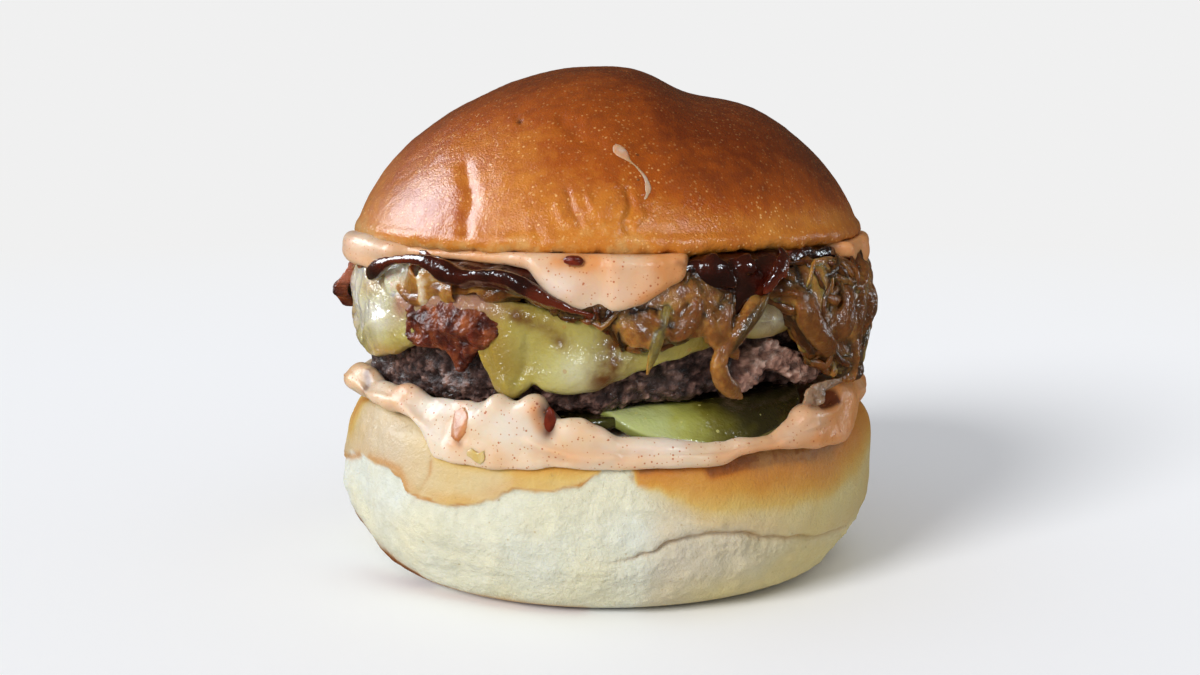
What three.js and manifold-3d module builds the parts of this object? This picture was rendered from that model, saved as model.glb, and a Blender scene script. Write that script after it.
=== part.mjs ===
import * as THREE from 'three';
import { mergeVertices } from 'three/addons/utils/BufferGeometryUtils.js';
import Module from 'manifold-3d';

// A hamburger in a brioche bun, in millimetres, +Z up, resting on the flat base of the bottom bun.
// The front is -Y. Bearings are in degrees round the axis, 0 at the front and growing to the right (+X).

// Overall layers, from the base up
const BUN_WIDTH = 107;
const HEEL_TOP = 32.4;
const PATTY_TOP = 52.0;
const CHEESE_TOP = 54.6;
const ONION_TOP = 61.5;
const CROWN_BASE = 64.9;
const CROWN_TOP = 97.2;

// Radii of the layers, each outside the one before
const BASE_RADIUS = 39.0;
const HEEL_RADIUS = BUN_WIDTH / 2;
const PATTY_RADIUS = 47.2;
const CHEESE_INNER = 48.2;
const CHEESE_OUTER = 50.1;
const ONION_RADIUS = 47.0;
const GLAZE_INNER = 50.2;
const GLAZE_OUTER = 51.4;
const SAUCE_INNER = 51.85;
const SAUCE_OUTER = 53.3;
const CROWN_RADIUS = 49.6;

// Clearance between neighbours
const GAP = 0.35;

// The axis of the bun stands a little off the middle, because a bacon tip reaches out on the left
const AXIS_X = 1.7;
const AXIS_Y = 0.0;

// Sectors of every turned layer; they are closer together at the front
const SECTORS = 55;
const FRONT_CROWDING = 0.34;

// Heights round the bun, as bearing and height
const SKIN_EDGE = [
  [-180, 15], [-125, 18], [-85, 17], [-41, 21.2], [-30, 20.5], [-19, 24.2], [-6, 25.3], [1, 27.6],
  [6, 12.6], [16, 15.6], [28, 15.6], [60, 9.8], [100, 12], [145, 16],
];
const LOWER_SAUCE_TOP = [
  [-180, 37.4], [-130, 39], [-95, 37.2], [-62, 40.4], [-48, 39], [-33, 36.8], [-21, 40.2], [-12, 39.2],
  [-4, 36.8], [3, 34.2], [33, 33.6], [43, 36.6], [53, 35.2], [69, 38.2], [110, 36.6], [150, 38.6],
];
const LOWER_SAUCE_HEM = [
  [-180, 30], [-140, 27.6], [-100, 31], [-67, 35.6], [-45, 34.4], [-35, 28.4], [-20, 28.1], [0, 28.9],
  [21, 28.8], [31, 30.2], [46, 28.8], [59, 29.2], [67, 33.6], [95, 31], [135, 28],
];
const PATTY_BOTTOM = [
  [-180, 37.4], [-60, 36.2], [-35, 37.2], [-8, 36.6], [12, 38.4], [28, 39.7], [60, 39.2], [120, 38],
];
const CHEESE_HEM = [
  [-180, 46], [-140, 50], [-105, 43], [-80, 47.4], [-65, 44.2], [-48, 46.8], [-34, 50.6], [-27, 49],
  [-21, 40.7], [-16, 42.4], [-8, 41.5], [6, 45.3], [28, 50.6], [44, 50.6], [64, 39.8], [76, 44.6],
  [110, 50], [145, 42],
];
const GLAZE_HEM = [
  [-180, 60], [-120, 57.5], [-85, 60.5], [-56, 59.8], [-43, 61.4], [-32, 57.9], [-14, 56.8], [-3, 55.2],
  [6, 60], [15, 60], [21, 56.4], [28, 55.4], [36, 60], [90, 60], [135, 56.5],
];
const UPPER_SAUCE_HEM = [
  [-180, 62.9], [-130, 59.4], [-98, 62.9], [-84, 62.6], [-61, 60.2], [-45, 62.9], [-20, 62.9], [-11, 58.3],
  [0, 55.4], [9, 57.6], [17, 62.9], [45, 62.9], [58, 60.9], [70, 62.9], [108, 59.8], [145, 62.9],
];

const wasm = await Module();
wasm.setup();

const rad = THREE.MathUtils.degToRad;

function wrap(bearing) {
  return THREE.MathUtils.euclideanModulo(bearing + 180, 360) - 180;
}

// A smooth hill, 1 at its middle
function hill(distance, halfWidth) {
  return Math.exp(-((distance / halfWidth) ** 2));
}

function bump(bearing, middle, halfWidth) {
  return hill(wrap(bearing - middle), halfWidth);
}

// Smooth closed curve through pairs of bearing and value
function round(pairs, bearing) {
  const b = wrap(bearing);
  const last = pairs.length - 1;
  let low = pairs[last];
  let lowAt = low[0] - 360;
  let high = pairs[0];
  let highAt = high[0];
  for (let k = 0; k <= last && pairs[k][0] <= b; k += 1) {
    low = pairs[k];
    lowAt = low[0];
    high = pairs[(k + 1) % pairs.length];
    highAt = k === last ? high[0] + 360 : high[0];
  }
  const share = (b - lowAt) / (highAt - lowAt);
  const eased = (1 - Math.cos(Math.PI * share)) / 2;
  return low[1] + (high[1] - low[1]) * eased;
}

// Straight lines through pairs, for a profile
function through(pairs, x) {
  if (x <= pairs[0][0]) return pairs[0][1];
  for (let k = 1; k < pairs.length; k += 1) {
    if (x <= pairs[k][0]) {
      const share = (x - pairs[k - 1][0]) / (pairs[k][0] - pairs[k - 1][0]);
      return pairs[k - 1][1] + (pairs[k][1] - pairs[k - 1][1]) * share;
    }
  }
  return pairs[pairs.length - 1][1];
}

// Repeatable roughness between -1 and 1
function rough(bearing, z, seed) {
  const value = Math.sin(Math.round(bearing * 10) * 12.9898 + Math.round(z * 10) * 78.233 + seed * 37.719);
  return 2 * (value * 43758.5453 - Math.floor(value * 43758.5453)) - 1;
}

// Slow waves round the bun, between about -1 and 1
function waves(bearing, seed) {
  const b = rad(bearing);
  return 0.5 * Math.sin(2 * b + seed) + 0.3 * Math.sin(3 * b + 2.1 * seed) + 0.2 * Math.sin(5 * b + 3.7 * seed);
}

function spot(bearing, radius, z) {
  return new THREE.Vector3(radius * Math.sin(rad(bearing)), -radius * Math.cos(rad(bearing)), z);
}

// Joins equal corners and leaves out triangles of no area
function welded(geometry) {
  geometry.deleteAttribute('normal');
  geometry.deleteAttribute('uv');
  const merged = mergeVertices(geometry, 1e-4);
  const corners = merged.index.array;
  const kept = [];
  for (let k = 0; k < corners.length; k += 3) {
    const [a, b, c] = [corners[k], corners[k + 1], corners[k + 2]];
    if (a !== b && b !== c && c !== a) kept.push(a, b, c);
  }
  merged.setIndex(kept);
  return merged;
}

function solid(geometry) {
  const ready = welded(geometry);
  return new wasm.Manifold(new wasm.Mesh({
    numProp: 3,
    vertProperties: new Float32Array(ready.attributes.position.array),
    triVerts: new Uint32Array(ready.index.array),
  }));
}

// The largest body of a solid, with corners closer than the tolerance joined
function tidy(manifold, tolerance) {
  const bodies = manifold.simplify(tolerance).decompose();
  return bodies.reduce((best, one) => (one.volume() > best.volume() ? one : best));
}

function geometryOf(manifold, tolerance) {
  const mesh = tidy(manifold, tolerance).getMesh();
  const geometry = new THREE.BufferGeometry();
  geometry.setAttribute('position', new THREE.BufferAttribute(new Float32Array(mesh.vertProperties), 3));
  geometry.setIndex(new THREE.BufferAttribute(new Uint32Array(mesh.triVerts), 1));
  return geometry;
}

// A layer turned round the axis: outline(bearing) gives its radius and height from the bottom of the
// axis outwards to the top of the axis, and grow moves the whole surface outwards
function turned(outline, grow = 0) {
  const count = outline(0).length;
  const profile = [];
  for (let k = 0; k < count; k += 1) {
    profile.push(new THREE.Vector2(k === 0 || k === count - 1 ? 0 : 1, k));
  }
  const geometry = new THREE.LatheGeometry(profile, SECTORS).rotateX(Math.PI / 2);
  const position = geometry.attributes.position;
  const outlines = new Map();
  for (let v = 0; v < position.count; v += 1) {
    const turn = Math.round(Math.atan2(position.getX(v), -position.getY(v)) / (2 * Math.PI / SECTORS));
    const sector = (turn + SECTORS) % SECTORS;
    if (!outlines.has(sector)) {
      const angle = sector * 2 * Math.PI / SECTORS;
      const bearing = THREE.MathUtils.radToDeg(angle - FRONT_CROWDING * Math.sin(angle));
      outlines.set(sector, { bearing, line: offset(outline(bearing), grow) });
    }
    const k = Math.round(position.getZ(v));
    const { bearing, line } = outlines.get(sector);
    const place = k === 0 || k === count - 1 ? new THREE.Vector3(0, 0, line[k][1]) : spot(bearing, ...line[k]);
    position.setXYZ(v, place.x, place.y, place.z);
  }
  return welded(geometry);
}

function offset(line, grow) {
  if (grow === 0) return line;
  return line.map(([radius, z], k) => {
    const before = line[Math.max(0, k - 1)];
    const after = line[Math.min(line.length - 1, k + 1)];
    if (k === 0) return [0, z - grow];
    if (k === line.length - 1) return [0, z + grow];
    const along = new THREE.Vector2(after[0] - before[0], after[1] - before[1]).normalize();
    return [radius + along.y * grow, z - along.x * grow];
  });
}

// A strand that follows a curve, thinner at its ends
function strand(points, halfWidth, halfThickness, sides, pieces) {
  const curve = new THREE.CatmullRomCurve3(points);
  const frames = curve.computeFrenetFrames(pieces + 2, false);
  const geometry = new THREE.CylinderGeometry(1, 1, pieces + 2, sides, pieces + 2, false);
  const position = geometry.attributes.position;
  for (let v = 0; v < position.count; v += 1) {
    const step = Math.round(position.getY(v) + (pieces + 2) / 2);
    const across = Math.hypot(position.getX(v), position.getZ(v)) < 0.5 ? 0 : 1;
    const angle = Math.atan2(position.getX(v), position.getZ(v));
    const share = THREE.MathUtils.clamp((step - 0.72) / (pieces + 0.56), 0, 1);
    const slim = step === 0 || step === pieces + 2 ? 0.45 : 1;
    const middle = curve.getPointAt(share);
    const wide = middle.clone().setZ(0).normalize().cross(new THREE.Vector3(0, 0, 1));
    const tangent = frames.tangents[step];
    const side = wide.clone().addScaledVector(tangent, -wide.dot(tangent)).normalize();
    const out = new THREE.Vector3().crossVectors(tangent, side);
    middle.addScaledVector(side, across * slim * halfWidth * Math.cos(angle));
    middle.addScaledVector(out, across * slim * halfThickness * Math.sin(angle));
    position.setXYZ(v, middle.x, middle.y, middle.z);
  }
  return geometry;
}

// Turns the faces of a closed shape outwards if they look inwards
function outwards(geometry) {
  const ready = welded(geometry);
  const p = ready.attributes.position;
  const corners = ready.index.array;
  let volume = 0;
  for (let k = 0; k < corners.length; k += 3) {
    const [a, b, c] = [0, 1, 2].map((n) => new THREE.Vector3().fromBufferAttribute(p, corners[k + n]));
    volume += a.dot(b.cross(c));
  }
  if (volume < 0) {
    for (let k = 0; k < corners.length; k += 3) {
      [corners[k + 1], corners[k + 2]] = [corners[k + 2], corners[k + 1]];
    }
  }
  return ready;
}

// Bottom bun

const HEEL_PROFILE = [
  [0, BASE_RADIUS], [1.4, 43.6], [4.8, 48.2], [9, 51.2], [13, 52.7], [17, HEEL_RADIUS], [22, 53.2],
  [27, 52.5], [30, 51.5], [32, 49.4],
];

// The shoulder of the bottom bun is higher on the left
function heelLift(bearing) {
  return 2.4 * bump(bearing, -60, 17) + 0.8 * waves(bearing, 8);
}

function heelRadius(z, bearing) {
  return through(HEEL_PROFILE, z) + 0.35 * waves(bearing, 1.3) - 0.35;
}

function heelOutline(bearing) {
  const edge = round(SKIN_EDGE, bearing);
  const line = [[0, 0], [BASE_RADIUS + 0.8 * waves(bearing, 4), 0], [43.4, 1.5]];
  for (const share of [0.2, 0.5, 0.8, 1]) {
    const z = 2.2 + (edge - 2.6) * share;
    const sunk = 0.9 * share + 0.3 * rough(bearing, share, 5);
    line.push([heelRadius(z, bearing) - sunk, z]);
  }
  line.push([heelRadius(edge + 0.6, bearing) + 0.25, edge + 0.5]);
  for (const share of [0.3, 0.65, 1]) {
    const z = edge + 0.5 + (30.2 - edge - 0.5) * share;
    line.push([heelRadius(z, bearing), z + heelLift(bearing) * share]);
  }
  line.push([49.0, 32.0 + heelLift(bearing)], [45, HEEL_TOP + 0.5 * heelLift(bearing)], [0, HEEL_TOP]);
  return line;
}

// Patty

function pattyRadius(bearing, z) {
  const crumble = 2.4 * bump(bearing, 43, 12) * hill(z - 43.5, 4);
  return PATTY_RADIUS + 0.5 * waves(bearing, 2.2) + crumble;
}

function pattyOutline(bearing) {
  const base = round(PATTY_BOTTOM, bearing);
  const line = [[0, 38.2], [26, 38.2 + 0.5 * (base - 38.2)], [42.6, base + 0.1], [45.6, base + 0.9]];
  for (const z of [base + 2.8, (base + 51) / 2 - 1, (base + 51) / 2 + 2.6]) {
    line.push([pattyRadius(bearing, z) + 0.45 * rough(bearing, z, 3) - 0.45, z + 0.3 * rough(z, bearing, 8)]);
  }
  line.push([46.4, 50.2], [44.2, 51.6], [38, PATTY_TOP], [0, PATTY_TOP]);
  return line;
}

// Lower sauce: on the bottom bun, under and round the patty, over the shoulder of the bun

function lowerSauceOutline(bearing) {
  const top = round(LOWER_SAUCE_TOP, bearing);
  const hem = round(LOWER_SAUCE_HEM, bearing);
  const base = round(PATTY_BOTTOM, bearing);
  const lift = heelLift(bearing);
  const line = [[0, HEEL_TOP + GAP], [46, HEEL_TOP + 0.65 * lift + 0.6]];
  for (const share of [0.28, 0.62, 0.94]) {
    const z = HEEL_TOP + lift + 0.75 - (HEEL_TOP + lift + 0.75 - hem) * share;
    line.push([heelRadius(Math.min(z - lift, 31.2), bearing) + 1.05, z]);
  }
  const hemRadius = heelRadius(Math.min(hem - lift, 31.2), bearing) + 1.1;
  const fat = 1.3 + 0.35 * waves(bearing, 6);
  line.push([hemRadius + 0.6, hem], [hemRadius + fat, hem + 0.9]);
  const middle = hem + 0.5 * (top - hem);
  const inner = pattyRadius(bearing, middle) + 0.8;
  const pressed = THREE.MathUtils.smoothstep(wrap(bearing), -30, -21)
    * (1 - THREE.MathUtils.smoothstep(wrap(bearing), 47, 56));
  const bed = (z) => z + (33.8 - z) * pressed;
  line.push([Math.max(inner + 3, 52.8) + 0.3 * waves(bearing, 9), middle]);
  line.push([inner + 2.9, top - 1.1], [inner + 1.5, top], [inner + 0.2, top - 0.7]);
  line.push([inner, Math.min(base + 1.6, top - 1.3)], [45.9, bed(base + 0.1)], [42.4, bed(base - 0.6)]);
  line.push([26, bed(37.7 + 0.5 * (base - 38.2))], [0, 37.6]);
  return line;
}

// Cheese

function cheeseInner(bearing) {
  return Math.max(CHEESE_INNER, pattyRadius(bearing, 48) + 0.6);
}

function cheeseOuter(bearing) {
  return cheeseInner(bearing) + CHEESE_OUTER - CHEESE_INNER;
}

function cheeseOutline(bearing) {
  const hem = round(CHEESE_HEM, bearing);
  const inner = cheeseInner(bearing);
  const outer = cheeseOuter(bearing);
  const line = [[0, PATTY_TOP + GAP], [41, PATTY_TOP + GAP], [inner - 1.8, 51.7]];
  line.push([inner - 0.1, Math.max(hem + 0.7, 50.1)], [inner, hem + 0.4]);
  line.push([inner + 0.8, hem], [outer - 0.1, hem + 0.6]);
  line.push([outer, Math.min(hem + 2.2, 52.3)], [outer - 0.2, 52.7], [outer - 2.2, 54.1]);
  line.push([42.5, CHEESE_TOP], [0, CHEESE_TOP]);
  return line;
}

// A point over the cheese: reach is the distance along its surface, 0 at the shoulder, more lower down
function overCheese(bearing, reach, lift) {
  const outer = cheeseOuter(bearing) + GAP + lift;
  const corner = 3.2 + lift;
  const level = CHEESE_TOP + GAP + lift;
  if (reach < 0) return spot(bearing, outer - corner + reach, level);
  const bend = Math.min(reach / (corner * Math.PI / 2), 1) * Math.PI / 2;
  const below = Math.max(0, reach - corner * Math.PI / 2);
  return spot(bearing, outer - corner * (1 - Math.sin(bend)), level - corner * (1 - Math.cos(bend)) - below);
}

// Bacon rasher: stops give bearing and reach along its middle
function rasher(stops, width, thickness, seed, lift, grow = 0) {
  const rows = 13;
  const columns = 3;
  const geometry = new THREE.BoxGeometry(rows, columns, 1, rows, columns, 1);
  const path = new THREE.CatmullRomCurve3(stops.map(([bearing, reach]) => new THREE.Vector3(bearing, reach, 0)));
  const position = geometry.attributes.position;
  for (let v = 0; v < position.count; v += 1) {
    const share = position.getX(v) / rows + 0.5;
    const across = position.getY(v) / columns;
    const at = path.getPoint(share);
    const ahead = path.getTangent(share);
    const inward = Math.max(0, -at.y);
    const perDegree = rad(1) * Math.max(12, CHEESE_OUTER - inward);
    const run = new THREE.Vector2(ahead.x * perDegree, ahead.y).normalize();
    const edge = 1 + 0.08 * Math.sin(9 * share + seed + 3 * across);
    const side = across * (width * edge + 2 * grow);
    const bearing = at.x - run.y * side / perDegree + (share - 0.5) * 0;
    const reach = at.y + run.x * side + (share > 0.5 ? 1 : -1) * grow * (share === 0 || share === 1 ? 1 : 0);
    const ripple = 0.35 * Math.sin(14 * share + 5 * across + seed) + 0.35;
    const face = position.getZ(v) > 0 ? thickness + grow : -Math.min(grow, GAP * 0.8);
    const raised = lift(share) + ripple + face;
    const place = overCheese(bearing, reach, raised);
    position.setXYZ(v, place.x, place.y, place.z);
  }
  return outwards(geometry);
}

const FRONT_RASHER = [[2, -26], [-14, -12], [-24, -2], [-30, 4.5], [-35, 8], [-42, 10.5]];
const LEFT_RASHER = [[60, -26], [-140, -34], [-88, -16], [-84, -4], [-82, 4], [-80, 9.2]];

function frontBacon(grow = 0) {
  return rasher(FRONT_RASHER, 11, 1.5, 1, () => 0, grow);
}

function leftBacon(grow = 0) {
  const flare = (share) => 4.4 * Math.max(0, share - 0.8) / 0.2;
  return rasher(LEFT_RASHER.slice(2), 15, 1.6, 4, (share) => flare(share), grow);
}

// Onions: a core, and strands that are fused to it and hang over the cheese

function onionCoreOutline(bearing) {
  const radius = ONION_RADIUS + 0.8 * waves(bearing, 7) + 2.2 * bump(bearing, 50, 16);
  return [
    [0, CHEESE_TOP + GAP], [41.6, CHEESE_TOP + GAP], [radius - 1, 55.7],
    [radius, 58 + 0.5 * rough(bearing, 1, 2)], [radius - 1.6, 60.8], [38, ONION_TOP], [0, ONION_TOP],
  ];
}

// Strands as bearing at the top, bearing at the end, height of the end, half width
const HANGING_STRANDS = [
  [11, 7, 45.2, 1.7], [16, 10, 49.4, 1.5], [18, 28, 40.6, 1.6], [34, 25, 46.8, 1.5], [29, 38, 50, 1.8],
  [45, 36, 48.4, 1.8], [41, 48, 46.8, 1.7], [58, 51, 48.2, 1.9], [54, 62, 49.6, 1.8], [70, 66, 47.6, 1.6],
  [104, 110, 48.6, 1.7], [142, 134, 47.5, 1.7], [-154, -146, 47.6, 1.7], [-114, -120, 49.6, 1.7],
];
// Strands that stay at the edge of the heap: first and last bearing, height, outermost radius
const EDGE_STRANDS = [
  [-68, -42, 58.2, 48.6], [-46, -22, 56.6, 48.6], [-24, -2, 56.9, 48.6], [0, 22, 56.6, 50.4],
  [42, 70, 58.2, 50.8], [28, 54, 56.6, 50.8], [78, 114, 57.4, 48.6],
  [124, 166, 57.4, 48.6], [-150, -108, 57.4, 48.6],
];

function hangingStrand([from, to, end, halfWidth]) {
  const points = [spot(from, 42, 59.6), spot(from, 46.6, 58.9)];
  const ride = cheeseOuter(to) + GAP + 1.25;
  points.push(spot(from + 0.2 * (to - from), 49.0, 56.6));
  points.push(spot(from + 0.45 * (to - from), ride, 53.6 - 0.15 * (54 - end)));
  points.push(spot(from + 0.75 * (to - from), ride, 53.6 - 0.6 * (54 - end)));
  points.push(spot(to, ride - 0.1, end));
  return strand(points, halfWidth, 0.95, 5, 5);
}

function edgeStrand([from, to, z, outermost]) {
  const points = [];
  for (const share of [0, 0.25, 0.5, 0.75, 1]) {
    const bulge = Math.sin(Math.PI * share);
    const height = z - 0.4 * bulge + 0.5 * Math.cos(9 * share + z);
    points.push(spot(from + (to - from) * share, 45 + (outermost - 45) * bulge, height));
  }
  return strand(points, 1.3, 1.3, 4, 4);
}

function onionHeap() {
  let heap = solid(turned(onionCoreOutline));
  for (const one of HANGING_STRANDS) heap = heap.add(solid(outwards(hangingStrand(one))));
  for (const one of EDGE_STRANDS) heap = heap.add(solid(outwards(edgeStrand(one))));
  heap = heap.subtract(solid(frontBacon(GAP))).subtract(solid(leftBacon(GAP)));
  return geometryOf(heap, 0.2);
}

// Barbecue glaze over the onions

function glazeOutline(bearing) {
  const low = round(GLAZE_HEM, bearing);
  const hem = Math.min(low, 60);
  const drawnIn = 1.6 * THREE.MathUtils.clamp((low - 60) / 1.2, 0, 1);
  const inner = GLAZE_INNER - drawnIn;
  const outer = GLAZE_OUTER - drawnIn;
  return [
    [0, ONION_TOP + GAP], [39, ONION_TOP + GAP], [46.6, 61.7],
    [inner - 0.8, Math.max(60.4, hem + 0.5)], [inner, hem + 0.4], [inner + 0.5, hem],
    [outer, hem + 0.8], [outer - 0.2, Math.max(60.8, hem + 1.4)], [Math.min(49, outer - 1.4), 62.3],
    [42, 62.9], [0, 62.9],
  ];
}

// Upper sauce, squeezed out under the top bun; the left lobe curls up round the edge of the bun

function upperSauceOutline(bearing) {
  const hem = round(UPPER_SAUCE_HEM, bearing);
  const curl = bump(bearing, -66, 15) + 0.6 * bump(bearing, 60, 10);
  const lobe = Math.min(1, bump(bearing, 1, 15) + curl + bump(bearing, -130, 14) + bump(bearing, 110, 12));
  const open = THREE.MathUtils.clamp((62.9 - hem) / 0.9, 0, 1);
  const inner = 48.4 + (SAUCE_INNER - 48.4) * open;
  const outer = Math.max(inner + 1.2, 49.6 + (SAUCE_OUTER - 49.6) * lobe + 0.9 * curl);
  return [
    [0, 63.25], [42, 63.25], [inner - 1.5, 63.1], [inner - 0.1, THREE.MathUtils.clamp(hem + 0.9, 62.5, 63.05)],
    [inner, Math.min(hem + 0.4, 62.95)], [inner + 0.5, hem], [outer, Math.min(hem + 1.2, 63.4)],
    [outer + 0.1, THREE.MathUtils.clamp(hem + 2.4, 62.8, 63.9)], [outer - 0.5, 64.5 + 1.3 * curl],
    [Math.min(outer - 0.9, 50.8), 64.6 + 1.5 * curl], [Math.min(outer - 1.2, 50.3), 64.5], [46, 64.4], [0, 64.4],
  ];
}

// Top bun

// Height of the smooth dome, as a share of its full height, gives the radius
function crownRadius(share) {
  return CROWN_RADIUS * Math.sqrt(Math.max(0, 1 - share ** (1 / 0.63)));
}

// The top slopes down to the right of its highest part, with dents on the front
function crownDents(bearing, radius) {
  const x = radius * Math.sin(rad(bearing));
  const y = -radius * Math.cos(rad(bearing));
  const shoulder = 2.9 * hill(x - 17, 9) * hill(y + 4, 26);
  const crease = 0.9 * hill(x - 4 + 0.3 * (y + 30), 4) * hill(y + 36, 9);
  const dent = 0.6 * hill(x + 24, 4) * hill(y + 34, 9);
  return shoulder + crease + dent;
}

function crownOutline(bearing) {
  const line = [[0, CROWN_BASE], [43, CROWN_BASE]];
  const rim = CROWN_RADIUS + 0.4 * waves(bearing, 5);
  line.push([rim - 2.2, CROWN_BASE + 0.05], [rim - 0.5, CROWN_BASE + 0.8], [rim, CROWN_BASE + 2]);
  const height = CROWN_TOP - 64;
  for (const share of [0.16, 0.28, 0.4, 0.52, 0.63, 0.73, 0.82, 0.9, 0.955, 0.99]) {
    const radius = crownRadius(share) + 0.4 * waves(bearing, 5) * (1 - share);
    line.push([radius, 64 + height * share - crownDents(bearing, radius)]);
  }
  line.push([0, CROWN_TOP - crownDents(0, 0)]);
  return line;
}

// Pickle slices: an oval disc that is bent down past the edge of the patty

function slice({ bearing, radius, along, across, thickness, level, droop, turn = 0 }, grow = 0) {
  const geometry = new THREE.SphereGeometry(1, 20, 6);
  const position = geometry.attributes.position;
  for (let v = 0; v < position.count; v += 1) {
    const [sx, sy, sz] = [position.getX(v), position.getY(v), position.getZ(v)];
    const ring = Math.hypot(sx, sz);
    const squared = ring < 1e-6 ? 0 : Math.min(1, ring * 1.12) / ring;
    const face = Math.sign(sy) * Math.min(1, Math.abs(sy) * 1.7);
    const u = sx * squared * (along + grow);
    const w = sz * squared * (across + grow);
    const lift = face * (thickness / 2 + grow);
    const slant = rad(turn);
    const tangent = u * Math.cos(slant) - w * Math.sin(slant);
    const outward = u * Math.sin(slant) + w * Math.cos(slant);
    const reach = radius + outward;
    const past = Math.max(0, reach - droop.from);
    const angle = Math.min(past / droop.bend, 1) * rad(droop.angle);
    const straight = Math.max(0, past - droop.bend);
    const size = droop.bend / rad(droop.angle);
    const flat = Math.min(reach, droop.from) + size * Math.sin(angle) + straight * Math.cos(rad(droop.angle));
    const down = size * (1 - Math.cos(angle)) + straight * Math.sin(rad(droop.angle));
    const r = flat + lift * Math.sin(angle);
    const z = level(tangent) - down + lift * Math.cos(angle);
    const place = spot(bearing + THREE.MathUtils.radToDeg(tangent / Math.max(r, 30)), r, z);
    position.setXYZ(v, place.x, place.y, place.z);
  }
  return outwards(geometry);
}

const BENT = { from: 44.6, bend: 5, angle: 52 };
const FLAT = { from: 70, bend: 5, angle: 10 };
const FRONT_PICKLE = {
  bearing: 24, radius: 44.8, along: 20.5, across: 9.4, thickness: 2.4, level: (t) => 36.9 + 0.05 * t, droop: BENT,
};
const UNDER_PICKLE = {
  bearing: -6, radius: 37.6, along: 13.5, across: 12, thickness: 2.0, level: (t) => 35.2 + 0.02 * t, droop: FLAT,
};

// Small pieces that sit in the face of the sauces
function chunk([bearing, radius, z, wide, high, deep, seed], grow = 0) {
  const geometry = new THREE.SphereGeometry(1, 8, 5);
  const position = geometry.attributes.position;
  const middle = spot(bearing, radius, z);
  const out = middle.clone().setZ(0).normalize();
  const side = out.clone().cross(new THREE.Vector3(0, 0, 1));
  for (let v = 0; v < position.count; v += 1) {
    const [x, y, q] = [position.getX(v), position.getY(v), position.getZ(v)];
    const lumpy = 1 + 0.12 * Math.sin(5 * x + 7 * y + 3 * q + seed);
    const place = middle.clone();
    place.addScaledVector(side, x * (wide * lumpy + grow));
    place.addScaledVector(out, q * (deep * lumpy + grow));
    place.z += y * (high * lumpy + grow);
    position.setXYZ(v, place.x, place.y, place.z);
  }
  return outwards(geometry);
}

const RED_PIECE = [-11, 52.3, 34.4, 1.3, 2.6, 0.9, 1];
const BROWN_PIECE = [-33, 52.6, 32.6, 1.9, 2.6, 0.8, 2];
const END_PIECE = [-68, 51.6, 38.1, 2.4, 1.5, 1.2, 3];
const TOP_PIECE = [-4, 53.2, 62.6, 1.6, 0.8, 0.8, 4];

const pickleFront = solid(slice(FRONT_PICKLE)).subtract(solid(slice(UNDER_PICKLE, GAP)));
let lowerSauce = solid(turned(lowerSauceOutline));
for (const one of [FRONT_PICKLE, UNDER_PICKLE]) {
  lowerSauce = lowerSauce.subtract(solid(slice(one, GAP)));
}
for (const one of [RED_PIECE, BROWN_PIECE, END_PIECE]) {
  lowerSauce = lowerSauce.subtract(solid(chunk(one, 0.25)));
}
const upperSauce = solid(turned(upperSauceOutline))
  .subtract(solid(turned(glazeOutline, 0.3)))
  .subtract(solid(chunk(TOP_PIECE, 0.25)));

const group = new THREE.Group();
group.name = 'hamburger';

function add(name, geometry, colour, roughness) {
  const ready = welded(geometry.clone());
  ready.translate(AXIS_X, AXIS_Y, 0);
  ready.computeVertexNormals();
  const material = new THREE.MeshStandardMaterial({ color: colour, roughness, metalness: 0 });
  const mesh = new THREE.Mesh(ready, material);
  mesh.name = name;
  group.add(mesh);
}

add('bottom_bun', turned(heelOutline), '#d8c493', 0.75);
add('lower_sauce', geometryOf(lowerSauce, 0.06), '#e2c4a3', 0.3);
add('pickle_front', geometryOf(pickleFront, 0.05), '#8f9440', 0.3);
add('pickle_under', slice(UNDER_PICKLE), '#45421a', 0.35);
add('patty', turned(pattyOutline), '#3a2a24', 0.6);
add('cheese', turned(cheeseOutline), '#b7a565', 0.3);
add('bacon_front', frontBacon(), '#84382e', 0.4);
add('bacon_left', leftBacon(), '#5d2b22', 0.4);
add('onion_heap', onionHeap(), '#6f4728', 0.3);
add('barbecue_glaze', turned(glazeOutline), '#3d1410', 0.12);
add('upper_sauce', geometryOf(upperSauce, 0.04), '#dcb68f', 0.3);
add('top_bun', turned(crownOutline), '#b4561f', 0.3);
add('red_piece', chunk(RED_PIECE), '#7a2a1c', 0.35);
add('brown_piece', chunk(BROWN_PIECE), '#a7683a', 0.4);
add('end_piece', chunk(END_PIECE), '#b8493f', 0.35);
add('top_piece', chunk(TOP_PIECE), '#6b1f18', 0.3);

export default group;
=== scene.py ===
import functools
import itertools
import math

import bmesh
import bpy
import numpy as np
from bpy.props import FloatProperty, FloatVectorProperty, IntProperty, PointerProperty
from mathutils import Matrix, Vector
from mathutils.kdtree import KDTree


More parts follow.
